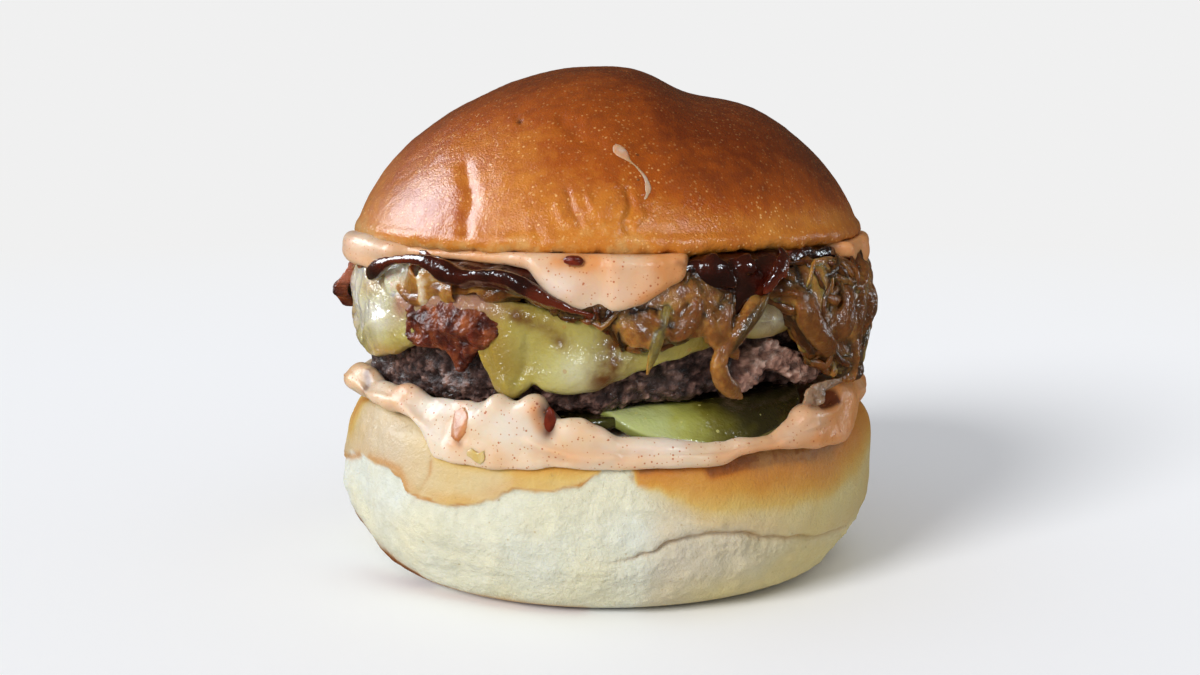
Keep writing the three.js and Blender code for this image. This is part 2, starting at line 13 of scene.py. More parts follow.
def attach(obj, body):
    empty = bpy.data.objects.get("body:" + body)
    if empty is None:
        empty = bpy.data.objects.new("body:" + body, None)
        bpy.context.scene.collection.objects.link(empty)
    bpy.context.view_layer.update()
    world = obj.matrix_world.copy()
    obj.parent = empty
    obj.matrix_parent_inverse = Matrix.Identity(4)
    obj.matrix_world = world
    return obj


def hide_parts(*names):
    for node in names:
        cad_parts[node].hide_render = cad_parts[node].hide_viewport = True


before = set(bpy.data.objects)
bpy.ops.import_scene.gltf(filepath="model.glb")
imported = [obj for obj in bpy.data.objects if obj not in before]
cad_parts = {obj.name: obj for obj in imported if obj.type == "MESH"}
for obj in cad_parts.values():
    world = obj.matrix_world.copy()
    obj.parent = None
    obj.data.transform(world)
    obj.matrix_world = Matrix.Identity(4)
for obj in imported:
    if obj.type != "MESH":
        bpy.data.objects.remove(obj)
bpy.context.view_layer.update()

bl_info = {
    "name": "Hamburger",
    "version": (1, 0, 0),
    "blender": (4, 5, 0),
    "location": "3D View > Sidebar > Hamburger",
    "description": "Builds a hamburger in a brioche bun, layer by layer, with its studio stage",
    "category": "Object",
}

# Everything is worked out in millimetres round the bun's axis and made in metres at the end.
# Bearings are in degrees, 0 at the front (-Y) and growing to the right (+X).
MM = 0.001
AXIS_X = 1.7
AXIS_Y = 0.0
GAP = 0.35

# Heights where the layers meet
HEEL_TOP = 32.4
PATTY_TOP = 52.0
CHEESE_TOP = 54.6
ONION_TOP = 61.5
CROWN_BASE = 64.9

# Columns of faces round a layer and round the top bun, and the share of rings that hidden faces keep
LAYER_SIDES = 720
CROWN_SIDES = 660
HIDDEN_SHARE = 0.08

# Bottom bun: its outline as (height, radius), and as (bearing, height) the edge of its torn skin
HEEL_PROFILE = np.array([
    [0, 39.0], [1.4, 43.6], [4.8, 48.2], [9, 51.2], [13, 52.7], [17, 53.5], [22, 53.2], [27, 52.5],
    [30, 51.5], [32, 49.4],
])
SKIN_EDGE = [
    (-180, 15), (-150, 17), (-125, 18), (-100, 19.4), (-80, 20.8), (-66, 24.2), (-60, 24.9), (-49, 24.7),
    (-45, 23.6), (-42, 21.2), (-38, 20.6), (-33, 20.2), (-28, 20.6), (-22, 22.1), (-19.4, 23.6),
    (-17.6, 24.5), (-12, 24.2), (-6, 25.3), (-2, 27.4), (0, 30), (3.4, 30.4), (5.4, 25.4), (9, 24.0),
    (14, 20.6), (18, 18.0), (24, 16.6), (30, 15.0), (38, 13.6), (48, 11.6), (60, 11.2), (100, 12), (130, 15),
    (155, 14),
]
# Overhanging crease low on the bottom bun, and the edges of the layers above it, (bearing, height)
CREASE = [
    (-180, 12), (-3, 11.6), (3, 12.8), (7, 13.9), (12, 16.0), (16, 16.8), (21, 16.9), (26, 16.4), (32, 14.4),
    (40, 13.3), (48, 11.6), (61, 11.3), (75, 12), (110, 11), (150, 12.6),
]
LOWER_SAUCE_TOP = [
    (-180, 37.4), (-130, 39), (-95, 37.2), (-80, 37.7), (-69, 40.2), (-62, 40.6), (-56, 38.7), (-51, 38.5),
    (-46, 39.5), (-38, 37.3), (-33, 36.6), (-28, 37.4), (-25, 38.5), (-21, 40.4), (-18, 39.4), (-15, 40.4),
    (-12, 39.6), (-9, 37.1), (-5, 37.2), (-2, 35.9), (2, 33.8), (18, 32.6), (32, 32.2), (37, 34.2),
    (44, 36.8), (52, 37.2), (57, 39.2), (62, 39.6), (69, 38.6), (78, 37.8), (95, 36.6), (120, 38.4),
    (150, 36.8),
]
LOWER_SAUCE_HEM = [
    (-180, 30), (-160, 28), (-140, 27.2), (-118, 30.4), (-100, 32), (-80, 36), (-67, 36.2), (-57, 35.4),
    (-49, 35.4), (-43, 34.2), (-38, 31.2), (-35, 28.4), (-24, 28.0), (-16, 28.2), (-9, 28.8), (-1, 28.6),
    (6, 28.8), (13, 29.0), (21, 28.8), (26, 30.1), (31, 30.4), (39, 29.5), (46, 28.8), (55, 28.4),
    (62, 30.5), (66, 33.4), (80, 34), (95, 31), (112, 29.4), (135, 28), (155, 30.6),
]
PATTY_BOTTOM = [
    (-180, 37.4), (-60, 36.0), (-38, 37.2), (-13, 36.8), (-6, 36.2), (7, 37.6), (15, 38.2), (22, 39.2),
    (31, 39.8), (46, 39.4), (60, 38.9), (120, 38),
]
CHEESE_HEM = [
    (-180, 46), (-160, 44), (-140, 50), (-122, 48), (-105, 42), (-92, 46), (-80, 47.9), (-70, 44.0),
    (-60, 44.2), (-52, 45.6), (-46, 47.4), (-40, 49.6), (-33, 50.6), (-27, 49.6), (-25, 44.5), (-22, 41.2),
    (-19, 40.5), (-17, 41.6), (-15, 42.9), (-12, 41.8), (-8, 41.5), (-3, 42.3), (1, 44.1), (6, 45.4),
    (13, 46.8), (18, 48.4), (23, 49.7), (28, 50.4), (33, 50.0), (38, 50.3), (43, 51.2), (50, 50.6), (58, 46),
    (66, 44.0), (74, 41.6), (82, 38.9), (90, 38.3), (98, 40), (108, 46), (116, 49), (128, 46), (145, 41.6),
    (162, 46),
]
GLAZE_HEM = [
    (-180, 58.6), (-150, 60), (-120, 56.5), (-100, 59.6), (-80, 61.4), (-66, 61.4), (-60, 61.2), (-54, 61.0),
    (-50, 62.0), (-43, 62.6), (-37, 61.4), (-33, 59.0), (-28, 58.8), (-22, 59.0), (-17, 57.8), (-13, 56.2),
    (-9, 55.2), (-5, 54.0), (-1, 53.4), (4, 56.8), (9, 60), (17, 60.8), (20, 57.4), (24, 53.4), (28, 53.2),
    (32, 57.6), (37, 60.8), (44, 61.6), (80, 61.6), (100, 60.6), (118, 59), (135, 55.8), (150, 59.6),
]
UPPER_SAUCE_HEM = [
    (-180, 62.9), (-150, 61.8), (-130, 58.6), (-112, 61.8), (-98, 62.9), (-84, 62.6), (-72, 61.6),
    (-64, 60.6), (-57, 60.0), (-51, 61.4), (-46, 62.9), (-34, 62.9), (-21, 62.6), (-14.8, 62.2),
    (-13.2, 60.2), (-11.5, 58.6), (-9.5, 57.0), (-7.3, 55.6), (-3, 55.1), (1.5, 55.4), (5.9, 56.4), (8, 57.8),
    (10, 59.0), (12.4, 59.8), (14.6, 60.5), (15.8, 61.7), (16.6, 62.9), (26, 62.9), (54, 62.9), (60, 62.0),
    (65, 60.6), (71, 59.6), (78, 59.6), (86, 61.0), (94, 62.6), (102, 62), (114, 59.4), (128, 62),
    (145, 62.9),
]


# ---- numbers


def wrap(b):
    return (np.asarray(b, float) + 180.0) % 360.0 - 180.0


def hill(distance, half):
    """1 at no distance, falling smoothly to 0.37 at the half width."""
    return np.exp(-((distance / half) ** 2))


def bump(b, middle, half):
    """Hill over bearings, in degrees."""
    return hill(wrap(b - middle), half)


def step(x, low, high):
    """Smooth rise from 0 at low to 1 at high."""
    s = np.clip((x - low) / (high - low), 0.0, 1.0)
    return s * s * (3.0 - 2.0 * s)


def waves(b, seed):
    t = np.radians(b)
    return 0.5 * np.sin(2 * t + seed) + 0.3 * np.sin(3 * t + 2.1 * seed) + 0.2 * np.sin(5 * t + 3.7 * seed)


def around(pairs, b):
    """Value of a closed curve through (bearing, value) pairs at each bearing."""
    table = np.array(pairs, float)
    x = np.concatenate(([table[-1, 0] - 360], table[:, 0], [table[0, 0] + 360]))
    y = np.concatenate(([table[-1, 1]], table[:, 1], [table[0, 1]]))
    b = wrap(b)
    k = np.clip(np.searchsorted(x, b, side="right") - 1, 0, len(x) - 2)
    share = (b - x[k]) / (x[k + 1] - x[k])
    return y[k] + (y[k + 1] - y[k]) * (1 - np.cos(np.pi * share)) / 2


def scrambled(ix, iy, iz, seed):
    """Repeatable number from 0 to 1 for each whole-number cell."""
    h = (ix * 374761393 + iy * 668265263 + iz * 1440662683 + seed * 974634777) & 0xFFFFFFFF
    h = ((h ^ (h >> 13)) * 1274126177) & 0xFFFFFFFF
    h = ((h ^ (h >> 16)) * 2246822519) & 0xFFFFFFFF
    return ((h ^ (h >> 15)) & 0xFFFFFF) / float(0xFFFFFF)


def smooth_noise(p, seed):
    cell = np.floor(p).astype(np.int64)
    f = p - cell
    u = f * f * f * (f * (f * 6 - 15) + 10)
    total = np.zeros(len(p))
    for dx, dy, dz in itertools.product((0, 1), repeat=3):
        weight = ((u[:, 0] if dx else 1 - u[:, 0]) * (u[:, 1] if dy else 1 - u[:, 1])
                  * (u[:, 2] if dz else 1 - u[:, 2]))
        total += weight * scrambled(cell[:, 0] + dx, cell[:, 1] + dy, cell[:, 2] + dz, seed)
    return total * 2 - 1


def lumps(points, size, octaves=3, seed=0, stretch=(1, 1, 1)):
    """Soft noise from about -1 to 1 with features of the given size in millimetres."""
    shape = points.shape[:-1]
    p = points.reshape(-1, 3) / (np.array(stretch, float) * size)
    turn = np.array([[0.80, 0.36, -0.48], [-0.60, 0.48, -0.64], [0.0, 0.80, 0.60]])
    total, weight, scale = np.zeros(len(p)), 0.0, 1.0
    for octave in range(octaves):
        total += scale * smooth_noise(p, seed + octave)
        weight += scale
        p, scale = p @ turn.T * 2.03 + 17.1, scale * 0.5
    return (total / weight).reshape(shape)


def granules(points, size, seed=0, stretch=(1, 1, 1)):
    """Distances to the nearest and second nearest of scattered centres, in cell sizes, and a number
    from 0 to 1 for the nearest one."""
    shape = points.shape[:-1]
    p = points.reshape(-1, 3) / (np.array(stretch, float) * size)
    cell = np.floor(p).astype(np.int64)
    first = np.full(len(p), 9.0)
    second = np.full(len(p), 9.0)
    which = np.zeros(len(p))
    for dx, dy, dz in itertools.product((-1, 0, 1), repeat=3):
        c = cell + (dx, dy, dz)
        centre = c + np.stack([scrambled(c[:, 0], c[:, 1], c[:, 2], seed + n) for n in (1, 2, 3)], -1)
        d = np.linalg.norm(centre - p, axis=1)
        nearer = d < first
        second = np.where(nearer, first, np.minimum(second, d))
        which = np.where(nearer, scrambled(c[:, 0], c[:, 1], c[:, 2], seed + 4), which)
        first = np.where(nearer, d, first)
    return first.reshape(shape), second.reshape(shape), which.reshape(shape)


# ---- surfaces


def placed(b, r, z):
    """Points in millimetres at bearings, radii and heights."""
    t = np.radians(b)
    return np.stack(np.broadcast_arrays(r * np.sin(t) + AXIS_X, -r * np.cos(t) + AXIS_Y, z), -1)


def swept(points, b, steps, weight=None, rounding=3):
    """Rounds a profile of (radius, height) points at each bearing and spaces it evenly; gives the
    rings and the two ends on the axis."""
    line = np.stack([
        np.stack(np.broadcast_arrays(np.asarray(r, float) + 0 * b, np.asarray(z, float) + 0 * b), -1)
        for r, z in points], 1)
    for _ in range(rounding):
        near = 0.75 * line[:, :-1] + 0.25 * line[:, 1:]
        far = 0.25 * line[:, :-1] + 0.75 * line[:, 1:]
        cut = np.stack([near, far], 2).reshape(len(line), -1, 2)
        line = np.concatenate([line[:, :1], cut, line[:, -1:]], 1)
    run = np.hypot(*np.moveaxis(np.diff(line, axis=1), -1, 0))
    if weight is not None:
        middle = (line[:, 1:] + line[:, :-1]) / 2
        run = run * weight(middle[..., 0], middle[..., 1])
    reach = np.concatenate([np.zeros((len(line), 1)), np.cumsum(run, 1)], 1)
    rings = np.empty((len(line), steps, 2))
    for k in range(len(line)):
        at = np.linspace(0, reach[k, -1], steps + 2)[1:-1]
        rings[k, :, 0] = np.interp(at, reach[k], line[k, :, 0])
        rings[k, :, 1] = np.interp(at, reach[k], line[k, :, 1])
    return rings, line[0, 0, 1], line[0, -1, 1]


def near_path(b, z, radius, stops):
    """Distance in millimetres from each (bearing, height) to a line of stops on a cylinder."""
    near = np.full(np.broadcast(b, z).shape, 1e3)
    flat = math.radians(radius)
    for (b0, z0), (b1, z1) in zip(stops, stops[1:]):
        u, v = wrap(b - b0) * flat, z - z0
        du, dv = (b1 - b0) * flat, z1 - z0
        t = np.clip((u * du + v * dv) / (du * du + dv * dv), 0, 1)
        near = np.minimum(near, np.hypot(u - t * du, v - t * dv))
    return near


def near(b, z, radius, stops, half):
    return hill(near_path(b, z, radius, stops), half)


def outward(grid):
    along = np.roll(grid, -1, 0) - np.roll(grid, 1, 0)
    up = np.gradient(grid, axis=1)
    n = np.cross(along, up)
    return n / np.maximum(np.linalg.norm(n, axis=-1, keepdims=True), 1e-9)


def pushed(grid, amount):
    return grid + outward(grid) * amount[..., None]


def softened(grid, times):
    for _ in range(times):
        blurred = (grid + np.roll(grid, 1, 0) + np.roll(grid, -1, 0)) / 3
        blurred[:, 1:-1] = (blurred[:, :-2] + blurred[:, 1:-1] + blurred[:, 2:]) / 3
        grid = blurred
    return grid


def mesh_of(name, verts, faces, marks=None):
    """New object from vertices in millimetres and a list of face arrays."""
    mesh = bpy.data.meshes.new(name)
    verts = np.ascontiguousarray(np.asarray(verts, np.float64) * MM, np.float32)
    sizes = np.concatenate([np.full(len(f), f.shape[1], np.int32) for f in faces])
    corners = np.concatenate([f.reshape(-1) for f in faces]).astype(np.int32)
    mesh.vertices.add(len(verts))
    mesh.vertices.foreach_set("co", verts.reshape(-1))
    mesh.loops.add(len(corners))
    mesh.loops.foreach_set("vertex_index", corners)
    mesh.polygons.add(len(sizes))
    starts = np.concatenate(([0], np.cumsum(sizes)[:-1])).astype(np.int32)
    mesh.polygons.foreach_set("loop_start", starts)
    mesh.polygons.foreach_set("use_smooth", np.ones(len(sizes), bool))
    for key, values in (marks or {}).items():
        mesh.attributes.new(key, "FLOAT", "POINT").data.foreach_set(
            "value", np.ascontiguousarray(values, np.float32))
    mesh.update(calc_edges=True)
    mesh.validate()
    piece = bpy.data.objects.new(name, mesh)
    bpy.context.scene.collection.objects.link(piece)
    return piece


def tube_piece(name, grid, marks=None, ends=None):
    """Closed piece from rings of points, grid[ring, place in the ring], with a cap at each end."""
    rows, n = grid.shape[:2]
    i, j = np.meshgrid(np.arange(rows - 1), np.arange(n), indexing="ij")
    a, c = i * n + j, i * n + (j + 1) % n
    quads = np.stack([a, c, c + n, a + n], -1).reshape(-1, 4)
    ring, after, far = np.arange(n), (np.arange(n) + 1) % n, (rows - 1) * n
    caps = np.concatenate([np.stack([np.full(n, rows * n), after, ring], -1),
                           np.stack([np.full(n, rows * n + 1), far + ring, far + after], -1)])
    ends = [grid[0].mean(0), grid[-1].mean(0)] if ends is None else ends
    values = {key: np.concatenate([np.broadcast_to(v, (rows, n)).reshape(-1), [0, 0]])
        for key, v in (marks or {}).items()}
    return mesh_of(name, np.vstack([grid.reshape(-1, 3), *ends]), [quads, caps], values)


def turned_piece(name, grid, low, high, marks=None, hollow=False):
    """Closed piece from grid[bearing, row]: closed on the axis, or as a ring when hollow."""
    count, rows = grid.shape[:2]
    marks = {key: np.broadcast_to(v, (count, rows)) for key, v in (marks or {}).items()}
    if not hollow:
        values = {key: v.T for key, v in marks.items()}
        return tube_piece(name, np.swapaxes(grid, 0, 1), values,
            [(AXIS_X, AXIS_Y, low), (AXIS_X, AXIS_Y, high)])
    i, j = np.meshgrid(np.arange(count), np.arange(rows), indexing="ij")
    a, b = i * rows + j, ((i + 1) % count) * rows + j
    up, over = i * rows + (j + 1) % rows, ((i + 1) % count) * rows + (j + 1) % rows
    quads = np.stack([a, b, over, up], -1).reshape(-1, 4)
    return mesh_of(name, grid.reshape(-1, 3), [quads], {key: v.reshape(-1) for key, v in marks.items()})


def numbers_of(items, key, width, kind=np.float32):
    held = np.empty(len(items) * width, kind)
    items.foreach_get(key, held)
    return held.reshape(-1, width) if width > 1 else held


def gathered(pieces, keys):
    """Points in metres, triangles and marks of several pieces together; the pieces are removed."""
    points, triangles, marks, start = [], [], {key: [] for key in keys}, 0
    for piece in pieces:
        mesh = piece.data
        mesh.calc_loop_triangles()
        points.append(numbers_of(mesh.vertices, "co", 3))
        triangles.append(numbers_of(mesh.loop_triangles, "vertices", 3, np.int32) + start)
        start += len(points[-1])
        for key in keys:
            marks[key].append(numbers_of(mesh.attributes[key].data, "value", 1))
        bpy.data.objects.remove(piece)
    return np.vstack(points), np.vstack(triangles), {key: np.concatenate(held) for key, held in marks.items()}


def fused(name, pieces, size, relax, keys, loose=()):
    """Melts closed pieces into one skin of even faces, which takes the marks of the nearest old points,
    and lays the loose pieces on it as they are."""
    points, triangles, marks = gathered(pieces, keys)
    joined = mesh_of(name, points / MM, [triangles])
    modifier = joined.modifiers.new("melt", "REMESH")
    modifier.mode = "VOXEL"
    modifier.voxel_size = size * MM
    made = plain_mesh(joined, name)
    tree = KDTree(len(points))
    for k, point in enumerate(points.tolist()):
        tree.insert(point, k)
    tree.balance()
    melted = numbers_of(made.data.vertices, "co", 3)
    nearest = np.array([tree.find(point)[1] for point in melted.tolist()])
    edges = numbers_of(made.data.edges, "vertices", 2, np.int32)
    ways = np.concatenate([edges, edges[:, ::-1]])
    shares = np.bincount(ways[:, 0], minlength=len(melted)).astype(float)

    def relaxed(values, times):
        for _ in range(times):
            around_each = np.bincount(ways[:, 0], values[ways[:, 1]], len(melted)) / shares
            values = 0.5 * values + 0.5 * around_each
        return values

    melted = np.stack([relaxed(melted[:, k], relax) for k in range(3)], -1)
    made.data.vertices.foreach_set("co", melted.astype(np.float32).reshape(-1))
    for key in keys:
        values = relaxed(marks[key][nearest], 3)
        made.data.attributes.new(key, "FLOAT", "POINT").data.foreach_set("value", values.astype(np.float32))
    made.data.update()
    if loose:
        points, triangles, marks = gathered([made, *loose], keys)
        made = mesh_of(name, points / MM, [triangles], marks)
    return facing_out(made)


def marked_by_place(piece, key, rule):
    """Sets a mark from each point's bearing and height."""
    points = numbers_of(piece.data.vertices, "co", 3) / MM
    b = np.degrees(np.arctan2(points[:, 0] - AXIS_X, AXIS_Y - points[:, 1]))
    values = np.clip(rule(b, points[:, 2], points), 0, 1).astype(np.float32)
    piece.data.attributes.new(key, "FLOAT", "POINT").data.foreach_set("value", values)
    return piece


# ---- materials


def link(tree, out, into):
    tree.links.new(out, into)


def put(tree, kind, values=None, **settings):
    """New node with its settings; a value that is a socket is linked in, any other is set."""
    made = tree.nodes.new(kind)
    for key, value in settings.items():
        setattr(made, key, value)
    for key, value in (values or {}).items():
        socket = made.inputs[key]
        if isinstance(value, bpy.types.NodeSocket):
            link(tree, value, socket)
        else:
            socket.default_value = (*value, 1) if socket.type == "RGBA" and len(value) == 3 else value
    return made


def ramp(tree, source, stops):
    made = put(tree, "ShaderNodeValToRGB", {"Fac": source})
    bar = made.color_ramp
    while len(bar.elements) > 1:
        bar.elements.remove(bar.elements[-1])
    bar.elements[0].position = stops[0][0]
    bar.elements[0].color = (*stops[0][1], 1)
    for place, colour in stops[1:]:
        bar.elements.new(place).color = (*colour, 1)
    return made.outputs["Color"]


def mixed(tree, factor, low, high):
    return put(tree, "ShaderNodeMix", {0: factor, 6: low, 7: high}, data_type="RGBA").outputs[2]


def layered(tree, colour, *coats):
    """Colour with coats of (mask, tint) laid on it in turn."""
    for mask, tint in coats:
        colour = mixed(tree, mask, colour, tint)
    return colour


def sums(tree, kind, a, b, clamp=False):
    return put(tree, "ShaderNodeMath", {0: a, 1: b}, operation=kind, use_clamp=clamp).outputs[0]


def times(tree, first, *others):
    for other in others:
        first = sums(tree, "MULTIPLY", first, other)
    return first


def plus(tree, first, *others):
    for other in others:
        first = sums(tree, "ADD", first, other)
    return first


def unsettled(tree, level, *parts):
    """Level from 0 to 1 that masks move up and down: parts of (mask, amount)."""
    for mask, amount in parts:
        level = sums(tree, "ADD", level, times(tree, sums(tree, "SUBTRACT", mask, 0.5), amount), True)
    return level


def ranged(tree, value, low, high, to_low=0.0, to_high=1.0):
    return put(tree, "ShaderNodeMapRange", {
        "Value": value, "From Min": low, "From Max": high, "To Min": to_low, "To Max": to_high,
    }).outputs["Result"]


def marks_of(tree, *names):
    """Values of the marks that the surface carries."""
    return [put(tree, "ShaderNodeAttribute", attribute_name=name).outputs["Fac"] for name in names]


def new_group(name, kind, inputs, outputs):
    group = bpy.data.node_groups.new(name, kind + "NodeTree")
    for way, sockets in (("INPUT", inputs), ("OUTPUT", outputs)):
        for label, default in sockets.items():
            sort = {float: "Float", int: "Int"}.get(type(default), default)
            socket = group.interface.new_socket(name=label, in_out=way, socket_type="NodeSocket" + sort)
            if sort != default:
                socket.default_value = default
    return group, group.nodes.new("NodeGroupInput").outputs, group.nodes.new("NodeGroupOutput").inputs


def where_in(group):
    return put(group, "ShaderNodeTexCoord").outputs["Object"]


def mottle_group():
    """Mask that wanders softly from 0 to 1 over the surface."""
    group, given, made = new_group("Mottle", "Shader",
        {"Scale": 100.0, "Detail": 4.0, "Low": 0.4, "High": 0.6}, {"Mask": 0.0})
    noise = put(group, "ShaderNodeTexNoise", {
        "Vector": where_in(group), "Scale": given["Scale"], "Detail": given["Detail"], "Roughness": 0.55})
    spread = put(group, "ShaderNodeMapRange",
        {"Value": noise.outputs["Fac"], "From Min": given["Low"], "From Max": given["High"]},
        interpolation_type="SMOOTHSTEP")
    link(group, spread.outputs["Result"], made["Mask"])


def specks_group():
    """Mask of small round specks: 1 in a speck, for a share of the cells."""
    group, given, made = new_group("Specks", "Shader", {"Scale": 600.0, "Size": 0.2, "Share": 0.3},
        {"Mask": 0.0})
    cells = put(group, "ShaderNodeTexVoronoi", {"Vector": where_in(group), "Scale": given["Scale"]})
    inside = sums(group, "LESS_THAN", cells.outputs["Distance"], given["Size"])
    split = put(group, "ShaderNodeSeparateColor", {"Color": cells.outputs["Color"]})
    chosen = sums(group, "LESS_THAN", split.outputs["Red"], given["Share"])
    link(group, times(group, inside, chosen), made["Mask"])


def relief_group():
    """Height of a fine uneven surface, coarse and fine together."""
    group, given, made = new_group("Relief", "Shader", {"Coarse": 200.0, "Fine": 900.0, "Share": 0.5},
        {"Height": 0.0})
    parts = [put(group, "ShaderNodeTexNoise", {
        "Vector": where_in(group), "Scale": given[label], "Detail": detail, "Roughness": 0.6}).outputs["Fac"]
        for label, detail in (("Coarse", 3.0), ("Fine", 2.0))]
    blend = put(group, "ShaderNodeMix", {0: given["Share"], 2: parts[0], 3: parts[1]}, data_type="FLOAT")
    link(group, blend.outputs[0], made["Height"])


def grouped(tree, name, *values):
    """A shader group with its inputs in their order."""
    made = put(tree, "ShaderNodeGroup", node_tree=bpy.data.node_groups[name])
    for k, value in enumerate(values):
        made.inputs[k].default_value = value
    return made.outputs[0]


def finish_of(name, rough, gloss, coat, melt):
    """New material with a roughness, a specular level, a coat (weight, roughness) and scattering
    (weight, radius, scale), all set on the surface shader's own sockets."""
    material = bpy.data.materials.new(name)
    material.use_nodes = True
    surface = material.node_tree.nodes["Principled BSDF"]
    keys = ("Roughness", "Specular IOR Level", "Coat Weight", "Coat Roughness",
            "Subsurface Weight", "Subsurface Radius", "Subsurface Scale")
    for key, value in zip(keys, (rough, gloss, *coat, *melt)):
        surface.inputs[key].default_value = value
    return material, material.node_tree, surface


def dressed(tree, surface, colour, height, strength, distance, coated=1.0):
    """Gives a surface its colour and its fine relief, under the coat and, by a share, on it."""
    link(tree, colour, surface.inputs["Base Color"])
    for key, share in (("Normal", 1.0), ("Coat Normal", coated)):
        bumps = put(tree, "ShaderNodeBump",
            {"Strength": strength * share, "Distance": distance, "Height": height})
        link(tree, bumps.outputs["Normal"], surface.inputs[key])


def crust_material(colours):
    material, tree, surface = finish_of("brioche_crust", 0.5, 0.1, (0.72, 0.2),
        (0.1, (0.9, 0.35, 0.12), 0.0015))
    bake, pit = marks_of(tree, "bake", "pit")
    uneven = grouped(tree, "Mottle", 55.0, 5.0, 0.3, 0.7)
    patchy = grouped(tree, "Mottle", 95.0, 3.0, 0.35, 0.65)
    fine = grouped(tree, "Mottle", 420.0, 4.0, 0.35, 0.65)
    # The bake mark holds painted light and shade as well as the baked colour.
    level = unsettled(tree, bake, (uneven, 0.16), (fine, 0.14))
    colour = ramp(tree, level, [(place, colours["crust_" + key]) for place, key in (
        (0.0, "pale"), (0.18, "gold"), (0.55, "amber"), (1.0, "dark"))])
    shown = times(tree, ranged(tree, level, 0.8, 0.4, 0.25, 1.0), ranged(tree, patchy, 0.0, 1.0, 0.3, 1.0))
    pores = times(tree, grouped(tree, "Specks", 980.0, 0.22, 0.6), shown)
    dust = times(tree, grouped(tree, "Specks", 1500.0, 0.26, 0.3), shown)
    burnt = grouped(tree, "Specks", 300.0, 0.10, 0.05)
    colour = layered(tree, colour, (times(tree, pores, 0.75), (0.78, 0.44, 0.16)),
        (times(tree, dust, 0.55), (0.74, 0.38, 0.11)), (times(tree, burnt, 0.6), (0.06, 0.02, 0.008)),
        # The pit mark: painted shade, near black.
        (pit, (0.03, 0.008, 0.002)))
    link(tree, ranged(tree, fine, 0.0, 1.0, 0.1, 0.24), surface.inputs["Coat Roughness"])
    height = plus(tree, grouped(tree, "Relief", 620.0, 2300.0, 0.6), times(tree, pores, 0.6))
    dressed(tree, surface, colour, height, 0.6, 0.0005, 0.65)
    return material


def crumb_material(colours):
    material, tree, surface = finish_of("bun_crumb", 0.62, 0.25, (0.0, 0.1), (0.3, (1.0, 0.75, 0.4), 0.002))
    torn, toast, gold, scorch, warm = marks_of(tree, "torn", "toast", "gold", "scorch", "warm")
    soft = grouped(tree, "Mottle", 90.0, 5.0, 0.3, 0.7)
    fine = grouped(tree, "Mottle", 600.0, 4.0, 0.35, 0.65)
    # The warm mark is partly the crumb's own warmer colour and partly painted bounce light.
    crumb = layered(tree, colours["crumb"],
        (times(tree, warm, ranged(tree, soft, 0.0, 1.0, 0.55, 1.0)), (0.67, 0.55, 0.21)),
        (times(tree, soft, 0.3), (0.66, 0.67, 0.62)), (times(tree, fine, 0.25), (0.42, 0.41, 0.29)))
    skin = mixed(tree, warm, (0.51, 0.41, 0.28), (0.58, 0.48, 0.20))
    # The toast mark holds a painted shadow under the sauce's hem as well as the toasting.
    level = unsettled(tree, toast, (soft, 0.14))
    baked = ramp(tree, level, [(0.0, (0.58, 0.48, 0.22)), (0.25, (0.56, 0.37, 0.10)),
            (0.5, (0.54, 0.26, 0.038)), (0.8, (0.46, 0.145, 0.010)), (1.0, (0.22, 0.05, 0.006))])
    skin = mixed(tree, ranged(tree, toast, 0.0, 0.25), skin, baked)
    pits = grouped(tree, "Specks", 640.0, 0.14, 0.14)
    # The gold mark also holds painted shade: in the crease and beside the flap's edge.
    colour = layered(tree, skin, (times(tree, soft, 0.35), (0.56, 0.36, 0.12)), (torn, crumb),
        (gold, (0.44, 0.19, 0.03)), (scorch, (0.19, 0.05, 0.004)),
        (times(tree, pits, 0.4), (0.38, 0.24, 0.08)))
    link(tree, ranged(tree, torn, 0.0, 1.0, 0.42, 0.8), surface.inputs["Roughness"])
    rough = sums(tree, "SUBTRACT", grouped(tree, "Relief", 430.0, 1700.0, 0.5), times(tree, pits, 0.3))
    dressed(tree, surface, colour, times(tree, rough, ranged(tree, torn, 0.0, 1.0, 0.6, 1.0)), 0.7, 0.0009)
    return material


def sauce_material(colours):
    material, tree, surface = finish_of("pink_sauce", 0.36, 0.25, (0.14, 0.16),
        (0.5, (1.0, 0.5, 0.25), 0.002))
    stain, cream, dark = marks_of(tree, "stain", "cream", "dark")
    soft = grouped(tree, "Mottle", 110.0, 3.0, 0.35, 0.7)
    # The cream mark holds painted highlights, and the dark mark painted shade, as well as the sauce's own
    # colours.
    colour = layered(tree, colours["sauce"], (soft, colours["sauce_warm"]), (cream, (0.68, 0.64, 0.58)),
                     (stain, (0.60, 0.23, 0.055)), (dark, (0.085, 0.016, 0.006)))
    for scale, size, share, depth, tint in ((1500.0, 0.22, 0.42, 0.7, (0.44, 0.14, 0.035)),
            (820.0, 0.16, 0.4, 0.8, (0.38, 0.09, 0.02)), (480.0, 0.12, 0.12, 0.8, (0.22, 0.05, 0.014))):
        specks = grouped(tree, "Specks", scale, size, share)
        colour = mixed(tree, times(tree, specks, depth), colour, tint)
    height = plus(tree, grouped(tree, "Relief", 170.0, 800.0, 0.35), times(tree, specks, 0.1))
    dressed(tree, surface, colour, height, 0.45, 0.0008)
    return material


